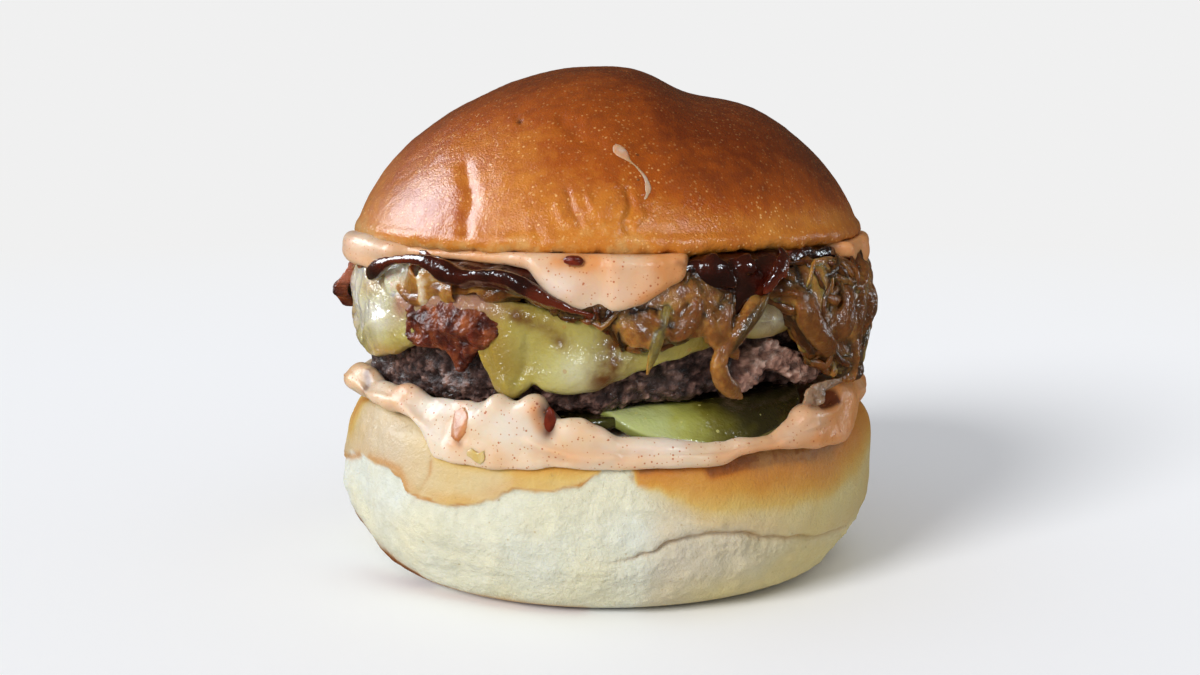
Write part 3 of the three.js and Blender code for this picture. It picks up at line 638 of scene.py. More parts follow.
def pickle_material(colours):
    material, tree, surface = finish_of("pickle_slice", 0.25, 0.4, (0.6, 0.08),
        (0.5, (0.6, 0.8, 0.15), 0.002))
    dark, rind = marks_of(tree, "dark", "rind")
    soft = grouped(tree, "Mottle", 160.0, 4.0, 0.3, 0.7)
    flesh = mixed(tree, soft, colours["pickle"], (0.36, 0.38, 0.10))
    # The dark mark is painted shade, running from the lit flesh to near black.
    colour = ramp(tree, dark, [(0.0, (0.40, 0.44, 0.20)), (0.25, (0.33, 0.33, 0.07)),
            (0.6, (0.13, 0.11, 0.010)), (1.0, (0.022, 0.017, 0.003))])
    seeds = grouped(tree, "Specks", 640.0, 0.2, 0.26)
    colour = layered(tree, colour, (ranged(tree, dark, 0.0, 0.8, 0.35, 0.0), flesh),
        (times(tree, rind, 0.8), (0.13, 0.14, 0.018)), (times(tree, seeds, 0.7), (0.50, 0.46, 0.14)))
    height = plus(tree, grouped(tree, "Relief", 260.0, 1100.0, 0.3), times(tree, seeds, 0.25))
    dressed(tree, surface, colour, height, 0.6, 0.0007)
    return material


def beef_material(colours):
    material, tree, surface = finish_of("seared_beef", 0.5, 0.3, (0.4, 0.12), (0.1, (1.0, 0.3, 0.2), 0.001))
    pit, grain, inside = marks_of(tree, "pit", "grain", "inside")
    fine = grouped(tree, "Mottle", 700.0, 3.0, 0.35, 0.65)
    wet = grouped(tree, "Mottle", 300.0, 3.0, 0.42, 0.58)
    level = unsettled(tree, grain, (fine, 0.4))
    outer = ramp(tree, level, [(0.0, (0.020, 0.009, 0.007)), (0.4, colours["beef"]),
            (0.75, (0.15, 0.076, 0.057)), (1.0, (0.32, 0.19, 0.15))])
    # The pink of the torn inside is made lighter than the meat, to make up for the shade that the onions above
    # cast on it: painted light.
    pink = ramp(tree, level, [(0.0, (0.22, 0.09, 0.06)), (0.6, (0.52, 0.28, 0.20)),
            (1.0, (0.74, 0.50, 0.39))])
    # The pit mark darkens the recesses of the beef: painted shade.
    colour = layered(tree, outer, (inside, pink), (times(tree, pit, 0.7), (0.012, 0.005, 0.004)))
    link(tree, ranged(tree, wet, 0.0, 1.0, 0.3, 0.7), surface.inputs["Roughness"])
    link(tree, ranged(tree, wet, 0.0, 1.0, 0.7, 0.05), surface.inputs["Coat Weight"])
    dressed(tree, surface, colour, grouped(tree, "Relief", 700.0, 2100.0, 0.45), 1.0, 0.0009)
    return material


def cheese_material(colours):
    material, tree, surface = finish_of("melted_cheese", 0.35, 0.3, (0.8, 0.07),
        (0.7, (1.0, 0.8, 0.2), 0.0025))
    pale, brown, pink, ochre, milk, deep = marks_of(tree, "pale", "brown", "pink", "ochre", "milk", "deep")
    soft = grouped(tree, "Mottle", 120.0, 4.0, 0.35, 0.65)
    oily = grouped(tree, "Mottle", 260.0, 4.0, 0.35, 0.6)
    spots = grouped(tree, "Specks", 520.0, 0.2, 0.14)
    # The milk and pale marks hold painted highlights as well as the cheese's own lighter colours.
    colour = layered(tree, colours["cheese"], (soft, (0.31, 0.22, 0.032)), (pale, (0.42, 0.39, 0.15)),
        (ochre, (0.42, 0.22, 0.012)), (deep, (0.21, 0.13, 0.017)), (milk, (0.66, 0.64, 0.57)),
        (pink, (0.36, 0.19, 0.12)), (times(tree, brown, ranged(tree, oily, 0.0, 1.0, 0.5, 1.0)),
            (0.11, 0.033, 0.004)), (times(tree, spots, 0.4), (0.36, 0.14, 0.02)))
    dressed(tree, surface, colour, grouped(tree, "Relief", 230.0, 800.0, 0.4), 0.8, 0.0011)
    return material


def bacon_material(colours):
    material, tree, surface = finish_of("fried_bacon", 0.42, 0.2, (0.25, 0.09),
        (0.25, (1.0, 0.35, 0.2), 0.0015))
    streak, film = marks_of(tree, "streak", "film")
    soft = grouped(tree, "Mottle", 300.0, 5.0, 0.35, 0.65)
    lean = mixed(tree, soft, colours["bacon"], (0.03, 0.005, 0.002))
    fat = mixed(tree, soft, (0.34, 0.09, 0.02), (0.12, 0.016, 0.005))
    colour = layered(tree, lean, (streak, fat), (times(tree, film, 0.95), (0.34, 0.11, 0.06)))
    dressed(tree, surface, colour, grouped(tree, "Relief", 420.0, 1600.0, 0.45), 0.7, 0.0009)
    return material


def onion_material(colours):
    material, tree, surface = finish_of("fried_onion", 0.34, 0.3, (1.0, 0.05),
        (0.8, (1.0, 0.45, 0.12), 0.003))
    tone, glazed = marks_of(tree, "tone", "glazed")
    soft = grouped(tree, "Mottle", 110.0, 3.0, 0.3, 0.7)
    fine = grouped(tree, "Mottle", 900.0, 3.0, 0.3, 0.7)
    # The tone mark holds painted shade in the gaps and dents of the heap, and low on it at the right.
    level = unsettled(tree, tone, (soft, 0.2), (fine, 0.12))
    colour = ramp(tree, level, [(0.0, (0.022, 0.006, 0.0015)), (0.3, colours["onion"]),
            (0.55, (0.18, 0.066, 0.013)), (0.8, (0.40, 0.19, 0.035)), (1.0, (0.60, 0.54, 0.40))])
    colour = mixed(tree, glazed, colour, (0.020, 0.0035, 0.0015))
    height = plus(tree, grouped(tree, "Relief", 380.0, 1500.0, 0.4),
        times(tree, grouped(tree, "Specks", 800.0, 0.34, 0.3), 0.35))
    dressed(tree, surface, colour, height, 0.55, 0.0009)
    return material


def glaze_material(colours):
    material, tree, surface = finish_of("barbecue_glaze", 0.22, 0.3, (1.0, 0.05),
        (0.2, (1.0, 0.15, 0.05), 0.001))
    soft = grouped(tree, "Mottle", 160.0, 3.0, 0.35, 0.7)
    thin, smear = marks_of(tree, "thin", "smear")
    colour = layered(tree, colours["glaze"], (soft, (0.026, 0.003, 0.0012)), (thin, (0.17, 0.012, 0.001)),
        (smear, (0.11, 0.018, 0.006)))
    dressed(tree, surface, colour, grouped(tree, "Relief", 260.0, 900.0, 0.3), 0.45, 0.0011)
    return material


def piece_material(name, colour, deep):
    material, tree, surface = finish_of(name, 0.3, 0.35, (0.2, 0.1), (0.4, (1.0, 0.3, 0.15), 0.002))
    soft = grouped(tree, "Mottle", 500.0, 3.0, 0.3, 0.7)
    dressed(tree, surface, mixed(tree, soft, colour, deep), grouped(tree, "Relief", 500.0, 1500.0, 0.4), 0.5,
        0.0004)
    return material


# ---- layers


def heel_lift(b):
    """How far the rim of the bottom bun rises at each bearing."""
    return 2.4 * bump(b, -60, 17) + 0.8 * waves(b, 8)


def heel_radius(z, b):
    """Radius of the bottom bun at each height and bearing."""
    return (np.interp(z, HEEL_PROFILE[:, 0], HEEL_PROFILE[:, 1]) + 0.35 * waves(b, 1.3) - 0.35
        + 1.1 * bump(b, 88, 18) * hill(z - 27, 6))


def patty_radius(b, z):
    return 47.2 + 0.5 * waves(b, 2.2) + 1.6 * bump(b, 43, 12) * hill(z - 43.5, 4)


def cheese_inner(b):
    return np.maximum(48.2, patty_radius(b, 48.0) + 0.6)


def cheese_outer(b):
    return cheese_inner(b) + 1.9


def bearings(count):
    return np.arange(count) * 360.0 / count


def side_weight(inside, below=math.inf):
    """Keeps few rings on the hidden flat faces inside a radius and below a height."""
    return lambda r, z: np.where((r < inside) & (z < below), HIDDEN_SHARE, 1.0)


def face_of(points, b, steps, weight, rounding=3):
    """Grid of a swept profile with its bearings, radii and heights, and its two ends on the axis."""
    rings, low, high = swept(points, b, steps, weight, rounding)
    b, r, z = b[:, None], rings[..., 0], rings[..., 1]
    return placed(b, r, z), b, r, z, low, high


def swollen(amount, b, z, swells):
    """Adds swells of (bearing, height, half width, half height, size) to a relief."""
    for at, height, wide, tall, size in swells:
        amount = amount + size * bump(b, at, wide) * hill(z - height, tall)
    return amount


def folded(amount, b, z, radius, folds):
    """Adds folds of (stops, half width, size) on a cylinder to a relief."""
    for stops, wide, size in folds:
        amount = amount + size * hill(near_path(b, z, radius, stops), wide)
    return amount


def strongest(*masks):
    """The highest of several masks at each point."""
    return functools.reduce(np.maximum, masks)


def bottom_bun_surface(context):
    b = bearings(LAYER_SIDES)
    lift = heel_lift(b)
    points = [(0, 0), (39 + 0.8 * waves(b, 4), 0), (43.4, 0.9), (46, 2.6)]
    points += [(heel_radius(z, b), z + lift * step(z, 14, 30))
        for z in (4.8, 8, 11, 14, 17, 20, 23, 26, 28.4)]
    points += [(heel_radius(30.4, b), 30.4 + lift), (49.2, 32.2 + lift), (45, HEEL_TOP + 0.5 * lift),
        (0, HEEL_TOP)]
    grid, bb, r, z, low, high = face_of(points, b, 128, side_weight(40), 2)
    turn = wrap(bb)
    outside = step(r, 43, 46) * step(z, 1.0, 4.0) * step(-z, -33.5, -31)
    edge = around(SKIN_EDGE, b)[:, None] + 0.4 * lumps(grid, 2.6, 3, 3)
    above = z - edge
    back = 1 - step(turn, 138, 176)
    right = step(turn, 4, 12) * back
    skin = step(above, -0.5 - 1.6 * right, 0.5 + 1.6 * right)
    crease = step(turn, -2, 8) * step(-turn, -100, -60)
    under = z - around(CREASE, b)[:, None] - 0.35 * lumps(grid, 2.4, 3, 4)
    sunk = (-0.55 * (1 - skin) * (1 - right) * (0.35 + 0.65 * np.exp(np.minimum(above, 0) / 4.0))
        * step(z, 3, 8))
    sunk = sunk - crease * (0.8 * hill(under + 0.4, 0.45) + 0.35 * step(-under, -0.6, 0.8) * step(z, 2, 8))
    lip = (0.34 * skin * (1 - right) * np.exp(-np.maximum(above, 0) / 1.4)
        + 0.45 * hill(under - 1.6, 1.6) * crease)
    puffs = (0.75 * lumps(grid, 8.5, 2, 11) + 0.6 * np.abs(lumps(grid, 4.6, 3, 12))
        + 0.10 * lumps(grid, 1.3, 2, 13))
    dough = 0.5 * lumps(grid, 17, 2, 14) + 0.05 * lumps(grid, 3.0, 3, 15)
    flap_line = np.interp(z, [15, 17.7, 21, 25.2, 28.5], [-43.5, -42, -40, -37, -37])
    flap = step(flap_line - turn, -0.4, 0.4) * bump(bb, -46, 10) * step(z, 15, 19) * step(-z, -33, -30)
    ridge = 0.5 * hill(near_path(bb, z, 53, [(4, 21.9), (8, 21.8), (12, 20.5), (16, 19.1), (21, 18)]), 0.9)
    threads = np.abs(lumps(grid, 0.8, 2, 16, (0.5, 0.5, 2.0)))
    torn_wool = (hill(under + 2.6, 2.6) * crease + 0.8 * bump(bb, -2, 8) * hill(z - 9.5, 3.5)
        + 0.7 * bump(bb, 5, 6) * hill(z - 25, 3))
    fibres = 0.6 * threads * (1 - skin) * torn_wool
    lines = ((0.13 * lumps(grid, 1.0, 2, 17, (0.5, 0.5, 5)) * (bump(bb, -26, 19) + bump(bb, -62, 12))
            + 0.25 * lumps(grid, 3.0, 3, 18)) * skin * step(-turn, -2, 4))
    amount = (outside * (sunk + lip + puffs * (1 - skin) * (1 - 0.6 * step(z, 14, 18) * right) + dough
            + 0.55 * flap + ridge + fibres + lines))
    grid = pushed(grid, amount)
    grid[..., 2] = np.maximum(grid[..., 2], 0.0)
    patchy, small = lumps(grid, 9, 2, 21), lumps(grid, 2.4, 3, 24)
    low_edge = around([(-180, 21), (4, 24.4), (9, 25), (12, 23.8), (18, 21.5), (23, 20.6), (50, 19.8),
            (60, 21.5), (75, 24), (110, 21), (150, 23)], b)[:, None]
    fade = step(turn, 6, 22) * back
    band = step(z - low_edge + 0.5 * patchy + 0.25 * small, -0.6 - 4.2 * fade, 0.8 + 3.6 * fade)
    toast = (step(turn + 0.4 * small, 4.6, 6.0) * back * band
        * (0.42 + 0.26 * step(z, 22, 29.5) + 0.08 * patchy + 0.25 * bump(bb, 44, 26) + 0.04 * small))
    toast = (toast + skin * bump(bb, -11, 11) * step(turn + 1.2 * small, -21, -17.6)
        * (0.26 + 0.2 * step(z, 26, 29) + 0.1 * patchy))
    toast = toast + skin * 0.14 * bump(bb, -29, 9) * (0.5 + step(-z, -24, -21))
    toast = (toast + skin * 0.5 * bump(bb, -78, 9) * step(z, 22, 32)
        + skin * 0.5 * bump(bb, -110, 22) * step(z, 19, 30))
    toast = (toast + skin * 0.5 * step(z, 21, 31) * (bump(bb, -150, 26) + bump(bb, 175, 20))
        * (0.8 + 0.3 * patchy))
    toast = toast + 0.22 * near(bb, z, 53, [(6, 28.2), (24, 28.6), (42, 29.0), (60, 28.8)], 1.0)
    stained = near(bb, z, 53, [(20, 27.3), (26, 28.2), (32, 28.8), (38, 28.9), (45, 27.8)], 1.1)
    toast = toast + 0.7 * stained * (0.9 + 0.5 * small)
    # Painted shadow: browner just under the lower sauce's hem on the left.
    toast = toast + 0.22 * skin * (1 - right) * hill(z - around(LOWER_SAUCE_HEM, b)[:, None], 1.2)
    bottom = step(lumps(grid, 9, 3, 23) + 0.8 * bump(bb, -15, 11) - 0.45, 0.0, 0.3)
    on_left = step(turn, -62, -54)
    gold = strongest(
        1.0 * hill(above - 0.15, 0.26 + 0.2 * step(lumps(grid, 3, 2, 22), 0, 0.4)) * step(-turn, 0, 4) * on_left
            * (0.7 + 0.7 * lumps(grid, 3, 2, 22)),
        0.4 * hill(above - 1.2, 1.3) * step(-turn, 8, 14) * on_left * skin
            * (0.6 + 0.6 * lumps(grid, 4, 2, 27)),
        0.8 * near(bb, z, 52.5, [(-82, 20.6), (-70, 22.6), (-62, 24.6)], 0.7),
        0.7 * hill(near_path(bb, z, 52.5, [(-56, 24.6), (-49, 24.9), (-45, 24.4), (-42.6, 22)]) - 0.5, 0.9)
            * skin,
        # Painted shadow beside the edge of the flap.
        0.75 * hill(turn - flap_line - 0.6, 0.45) * step(z, 19, 22) * step(-z, -29, -27)
            * (0.6 + 0.6 * small),
        # Painted shade inside the crease, tinted tan.
        0.6 * hill(under + 0.3, 0.4) * crease * (0.7 + 0.5 * small),
        0.55 * step(lumps(grid, 3.4, 3, 26), 0.25, 0.5) * bump(bb, 0, 6) * step(z, 24, 27),
        0.8 * near(bb, z, 45, [(-70, 6.0), (-60, 4.6), (-48, 2.4), (-36, 1.0), (-6, 0.6)], 1.1 + 0.4 * patchy),
    )
    scorch = strongest(
        0.5 * step(-z, -2.4, -0.6) * bottom, 0.8 * step(-z, -0.5, -0.1),
        near(bb, z, 43, [(-72, 9.0), (-66, 6.2), (-60, 3.8), (-52, 1.2)], 2.6 + 0.6 * small),
        0.6 * stained * step(lumps(grid, 1.3, 2, 28), 0.0, 0.3),
    )
    # The warm mark is partly the crumb's warmer colour and partly painted bounce light: warmer over the right
    # and back and low down.
    warm = np.clip(0.16 + 0.7 * step(turn, -5, 55) * back + 0.5 * lumps(grid, 12, 2, 25)
        + 0.3 * step(-z, -12, -3) - 0.3 * bump(bb, 8, 10) * hill(z - 18, 4), 0, 1)
    marks = {"torn": (1 - skin) * (1 - 0.6 * right), "toast": np.clip(toast, 0, 1),
        "gold": np.clip(gold, 0, 1), "scorch": np.clip(scorch, 0, 1), "warm": warm}
    return turned_piece("bottom_bun_crumb", grid, low, high, marks)


def lower_sauce_surface(context):
    b = bearings(LAYER_SIDES)
    lift = heel_lift(b)
    top, hem = around(LOWER_SAUCE_TOP, b), around(LOWER_SAUCE_HEM, b)
    base = around(PATTY_BOTTOM, b)
    pressed = step(wrap(b), -30, -21) * step(-wrap(b), -62, -50)
    points = [(0, HEEL_TOP + GAP), (46, HEEL_TOP + 0.65 * lift + 0.2)]
    for share in (0.2, 0.45, 0.7, 0.95):
        z = HEEL_TOP + lift + 0.3 - (HEEL_TOP + lift + 0.3 - hem) * share
        points.append((heel_radius(np.minimum(z - lift, 31.2), b) + 0.1, z))
    hem_radius = heel_radius(np.minimum(hem - lift, 31.2), b)
    middle = hem + 0.5 * (top - hem)
    inner = patty_radius(b, middle) + 0.3
    tip = bump(b, 86, 14)
    fat = 2.0 + 0.5 * waves(b, 6) - 1.4 * tip
    depth = top - hem
    rise = 2.2 * bump(b, -33, 6.5)
    points += [(hem_radius + 0.9, hem - 0.5), (hem_radius + fat, hem + 0.3),
        (np.maximum(hem_radius + fat - 0.1, 52.9 - 1.6 * tip), hem + np.minimum(2.0, 0.36 * depth))]
    points += [(np.maximum(inner + 4.2, 52.8 - 1.2 * tip) + 0.3 * waves(b, 9), middle)]
    points += [(inner + 4.2 + 1.6 * pressed, np.maximum(top - 1.6 - 0.5 * (1 - pressed), hem + 0.64 * depth)),
        (inner + 3.0 + 1.6 * pressed, top + 0.2 + 0.3 * rise),
        (inner + 0.8 + 2.0 * pressed, top + 0.1 + rise)]
    points += [(inner - 0.2, np.minimum(base + 1.0, top - 1.6)), (43, 34.0 + 2.0 * (1 - pressed)), (26, 35.4),
        (0, 36)]
    grid, bb, r, z, low, high = face_of(points, b, 120, side_weight(45))
    shown = step(r, 48, 50.5)
    amount = 0.55 * lumps(grid, 8, 2, 31) + 0.32 * lumps(grid, 3.6, 2, 32)
    amount = folded(swollen(amount, bb, z, LOWER_SAUCE_SWELLS), bb, z, 54, LOWER_SAUCE_FOLDS)
    grid = pushed(grid, shown * amount)
    grid = softened(grid, 2)
    far = step(wrap(bb), 12, 60) * step(-wrap(bb), -150, -110)
    stain = (0.5 * bump(bb, -70, 4) * hill(z - 38, 2.4) + 0.4 * bump(bb, -46, 5) * hill(z - 39, 1.6)
        + 0.8 * far + 0.02 + 0.3 * lumps(grid, 6, 2, 33) + 0.35 * bump(bb, -4, 9) * hill(z - 31, 1.8)
        + 0.85 * near(bb, z, 54, [(-30.6, 36.6), (-29.2, 34.6), (-29.8, 32.6)],
            2.1 + 0.5 * lumps(grid, 2.5, 2, 34)) + 0.7 * near(bb, z, 54, [(-13.4, 38.6), (-12.6, 35.6)], 1.1)
        + 0.3 * near(bb, z, 54, [(20, 30), (40, 30.4), (56, 32)], 1.2))
    # The cream mark is partly whiter sauce and partly painted light: a painted highlight on the front left at
    # -37°, and a whiter strip on the top at -33° where the sauce lies in shade.
    cream = (0.8 * bump(bb, -33, 10) * step(z, 35.2, 36.6) + 0.55 * bump(bb, 8, 9) * hill(z - 32.2, 1.5)
        + 0.5 * bump(bb, -37, 6) * hill(z - 33, 3) + 0.4 * bump(bb, -20, 8) * hill(z - 35, 3)
        + 0.3 * lumps(grid, 7, 2, 35))
    # The dark mark: dark red in the hollow round the red piece, partly its colour and partly painted shade;
    # dark spots at the left end and under the brown piece; and near-black painted shade in the cavity behind
    # the flap.
    dark = 0.95 * near(bb, z, 53.5, [(-11.4, 38.6), (-10.8, 36.6), (-11.2, 34.8)], 1.15)
    dark = (dark + 0.75 * near(bb, z, 53.5, [(-62, 40.2), (-60, 39.0), (-59, 37.8)], 0.9)
        + 0.6 * near(bb, z, 53.5, [(-80, 38.0), (-77, 36.4)], 1.2))
    dark = (dark + 0.5 * near(bb, z, 54, [(-29.6, 32.6), (-28.4, 31.6)], 0.6)
        + step(wrap(bb), 45.6, 46.8) * step(-wrap(bb), -55.4, -53.8) * step(z, 35.2, 36.0))
    marks = {"stain": np.clip(stain, 0, 0.9), "cream": np.clip(cream, 0, 1), "dark": np.clip(dark, 0, 0.95)}
    return turned_piece("lower_sauce_spread", grid, low, high, marks)


# Swells in the face of the lower sauce: bearing, height, half width, half height, size in millimetres
LOWER_SAUCE_SWELLS = [
    (-67, 38.4, 4, 2.8, 1.2), (-59.5, 38.8, 3, 2.4, -0.7), (-53, 37.6, 4, 2.4, 0.5), (-44, 38.4, 4, 1.6, 0.9),
    (-22, 38.6, 3.2, 2.0, 0.9), (-14, 38.8, 2.4, 2.2, 1.5), (-10.8, 36.6, 1.5, 2.6, -1.7),
    (-19, 34.8, 5, 3, 0.5), (-33, 33.2, 2.2, 2.8, -0.6), (-5, 34.0, 6, 2.0, 0.6), (16, 30.6, 9, 1.4, 0.4),
    (44, 33.0, 8, 3.0, 1.0), (50, 37.6, 3.4, 1.8, -2.2), (60, 37, 4, 3, 0.6), (100, 34, 10, 2.5, 0.8),
    (130, 33, 8, 3, 0.9), (-120, 35, 9, 2.5, 1.0), (-150, 32, 10, 3, 0.8), (175, 34, 9, 2.4, 0.7),
]
# Folds: stops of (bearing, height), half width and size in millimetres
LOWER_SAUCE_FOLDS = [
    ([(-15, 33.2), (-11, 31.9), (-8, 31.2), (-4, 30.5), (1, 30.7)], 0.7, 0.7),
    ([(-16, 32.2), (-12, 30.7), (-8, 29.9)], 0.6, -0.4),
    ([(-27, 31.6), (-24, 31.0), (-21, 29.4)], 0.9, 0.6),
    ([(-50, 36), (-43, 35.4), (-38, 33.6)], 0.8, 0.5),
    ([(35, 31.4), (39, 32.2), (44, 33.2)], 0.6, 0.5),
    ([(100, 34), (112, 33)], 1.0, 0.6), ([(-104, 34.6), (-114, 33.4), (-128, 34)], 1.0, 0.6),
    ([(150, 33), (165, 31.6), (178, 33)], 1.0, 0.7),
]


# Pickle slices: bearing, radius and half sizes along and across, thickness, height, tilt, and the
# radius where a slice bends down, the length of the bend and its angle
FRONT_SLICE = (24, 44.8, 20.5, 9.6, 2.4, 37.2, 0.05, 44.6, 5.0, 52)
UNDER_SLICE = (-6, 37.8, 13.5, 12.0, 2.0, 35.4, 0.02, 70.0, 5.0, 10)


def slice_piece(name, spec):
    """Oval slice that bends down past the edge of the patty."""
    at, radius, along, across, thick, level, tilt, bend_from, bend, angle = spec
    columns, rows = 160, 26
    turn = np.linspace(0, 2 * np.pi, columns, endpoint=False)
    out = np.concatenate([np.linspace(0.03, 0.93, rows),
            0.93 + 0.07 * np.sin(np.linspace(0.15, 1.0, 8) * np.pi / 2)])
    lift = np.concatenate([np.full(rows, -1.0), -np.cos(np.linspace(0.15, 1.0, 8) * np.pi / 2)])
    out = np.concatenate([out, out[::-1][1:]])
    lift = np.concatenate([lift, -lift[::-1][1:]])
    wobble = 1 + 0.02 * np.sin(3 * turn + at) + 0.015 * np.sin(7 * turn)
    u = (out[None] * np.cos(turn)[:, None] * wobble[:, None]) * along
    w = -(out[None] * np.sin(turn)[:, None] * wobble[:, None]) * across
    height = np.broadcast_to(lift[None] * thick / 2, u.shape)
    reach = radius + w
    past = np.maximum(0, reach - bend_from)
    limit = math.radians(angle)
    curved = np.minimum(past / bend, 1) * limit
    straight = np.maximum(0, past - bend)
    size = bend / limit
    flat = np.minimum(reach, bend_from) + size * np.sin(curved) + straight * math.cos(limit)
    down = size * (1 - np.cos(curved)) + straight * math.sin(limit)
    grid_r = flat + height * np.sin(curved)
    grid_z = level + tilt * u - down + height * np.cos(curved)
    bearing = at + np.degrees(u / np.maximum(grid_r, 30))
    grid = placed(bearing, grid_r, grid_z)
    grid = pushed(grid, 0.22 * lumps(grid, 5, 2, 41) + 0.08 * lumps(grid, 1.6, 2, 42))
    share = u / along
    # The dark mark is painted shade: the slice darkens from its lit left end to its right end and along its
    # inner side under the patty, and the slice under the patty is dark all over for the shade that it lies in.
    dark = (1.1 * step(share, -0.9, 0.5) + 0.3 * step(-w / across, -0.85, 0.1) * step(share, -0.5, 0.2)
        + 0.3 * lumps(grid, 5, 3, 43))
    dark = np.clip(dark + (0.85 if radius < 40 else 0.0), 0, 1)
    rind = np.broadcast_to(step(out, 0.955, 0.985)[None], u.shape) * (0.3 if radius < 40 else 1.0)
    return facing_out(tube_piece(name, np.swapaxes(grid, 0, 1), {"dark": dark.T, "rind": rind.T}))


def facing_out(piece):
    """Turns every closed part of a mesh so that its faces point outwards."""
    work = bmesh.new()
    work.from_mesh(piece.data)
    bmesh.ops.recalc_face_normals(work, faces=work.faces)
    if work.calc_volume(signed=True) < 0:
        bmesh.ops.reverse_faces(work, faces=work.faces)
    work.to_mesh(piece.data)
    work.free()
    piece.data.polygons.foreach_set("use_smooth", np.ones(len(piece.data.polygons), bool))
    return piece


def patty_surface(context):
    b = bearings(LAYER_SIDES)
    base = around(PATTY_BOTTOM, b)
    points = [(0, 38.2), (26, 38.2 + 0.5 * (base - 38.2)), (42.6, base + 0.1), (46.4, base + 0.6)]
    for share in (0.14, 0.34, 0.54, 0.74, 0.9):
        z = base + 0.4 + (50.6 - base) * share
        points.append((patty_radius(b, z) - 0.2, z))
    points += [(46.6, 50.9), (44.2, 51.8), (38, PATTY_TOP), (0, PATTY_TOP)]
    grid, bb, r, z, low, high = face_of(points, b, 130, side_weight(40), 2)
    side = step(r, 40, 45)
    chunk = (near_path(bb, z, 49, [(30, 41.4), (30.6, 44.0), (35, 46.0), (40, 44.6), (47, 42.8), (55, 41.2)])
        + 1.3 * lumps(grid, 3, 3, 50))
    inside = step(-chunk, -3.4, -2.2)
    bent = grid + 1.5 * np.stack([lumps(grid, 2.6, 3, s) for s in (51, 52, 53)], -1)
    close, second, which = granules(bent, 2.0, 54)
    small, _, which_small = granules(bent, 0.95, 58)
    crack = 1 - step(second - close, 0.02, 0.3)
    relief = 0.42 * (0.5 - close) - 0.22 * crack + 0.3 * (0.5 - small) + 0.42 * (which - 0.5)
    relief = relief + 0.6 * lumps(grid, 8, 2, 55) + 0.7 * lumps(grid, 2.8, 3, 57)
    rim = step(chunk, 2.0, 3.0) * step(-chunk, -6.0, -3.6) * step(z, 39, 41)
    relief = (relief + inside * (1.1 + 1.1 * lumps(grid, 4, 3, 56) + 1.1 * lumps(grid, 1.5, 3, 59))
        - 1.4 * rim * bump(bb, 42, 17))
    grid = pushed(grid, side * relief)
    # The pit mark is painted shade: in the cracks between grains, in the gaps away from their middles, in the
    # holes of the torn crumble and in the dent round it.
    pit = np.clip(0.7 * crack * (1 - 0.3 * inside) + inside * step(-lumps(grid, 1.5, 3, 59), 0.12, 0.45)
        + step(close, 0.6, 1.0) + 0.8 * rim * bump(bb, 42, 17), 0, 1)
    grain = np.clip(0.5 * which + 0.35 * which_small + 0.35 * (0.6 - close) + 0.3 * lumps(grid, 3, 2, 60), 0,
        1)
    marks = {"pit": pit, "grain": grain, "inside": inside}
    return turned_piece("patty_beef", grid, low, high, marks)


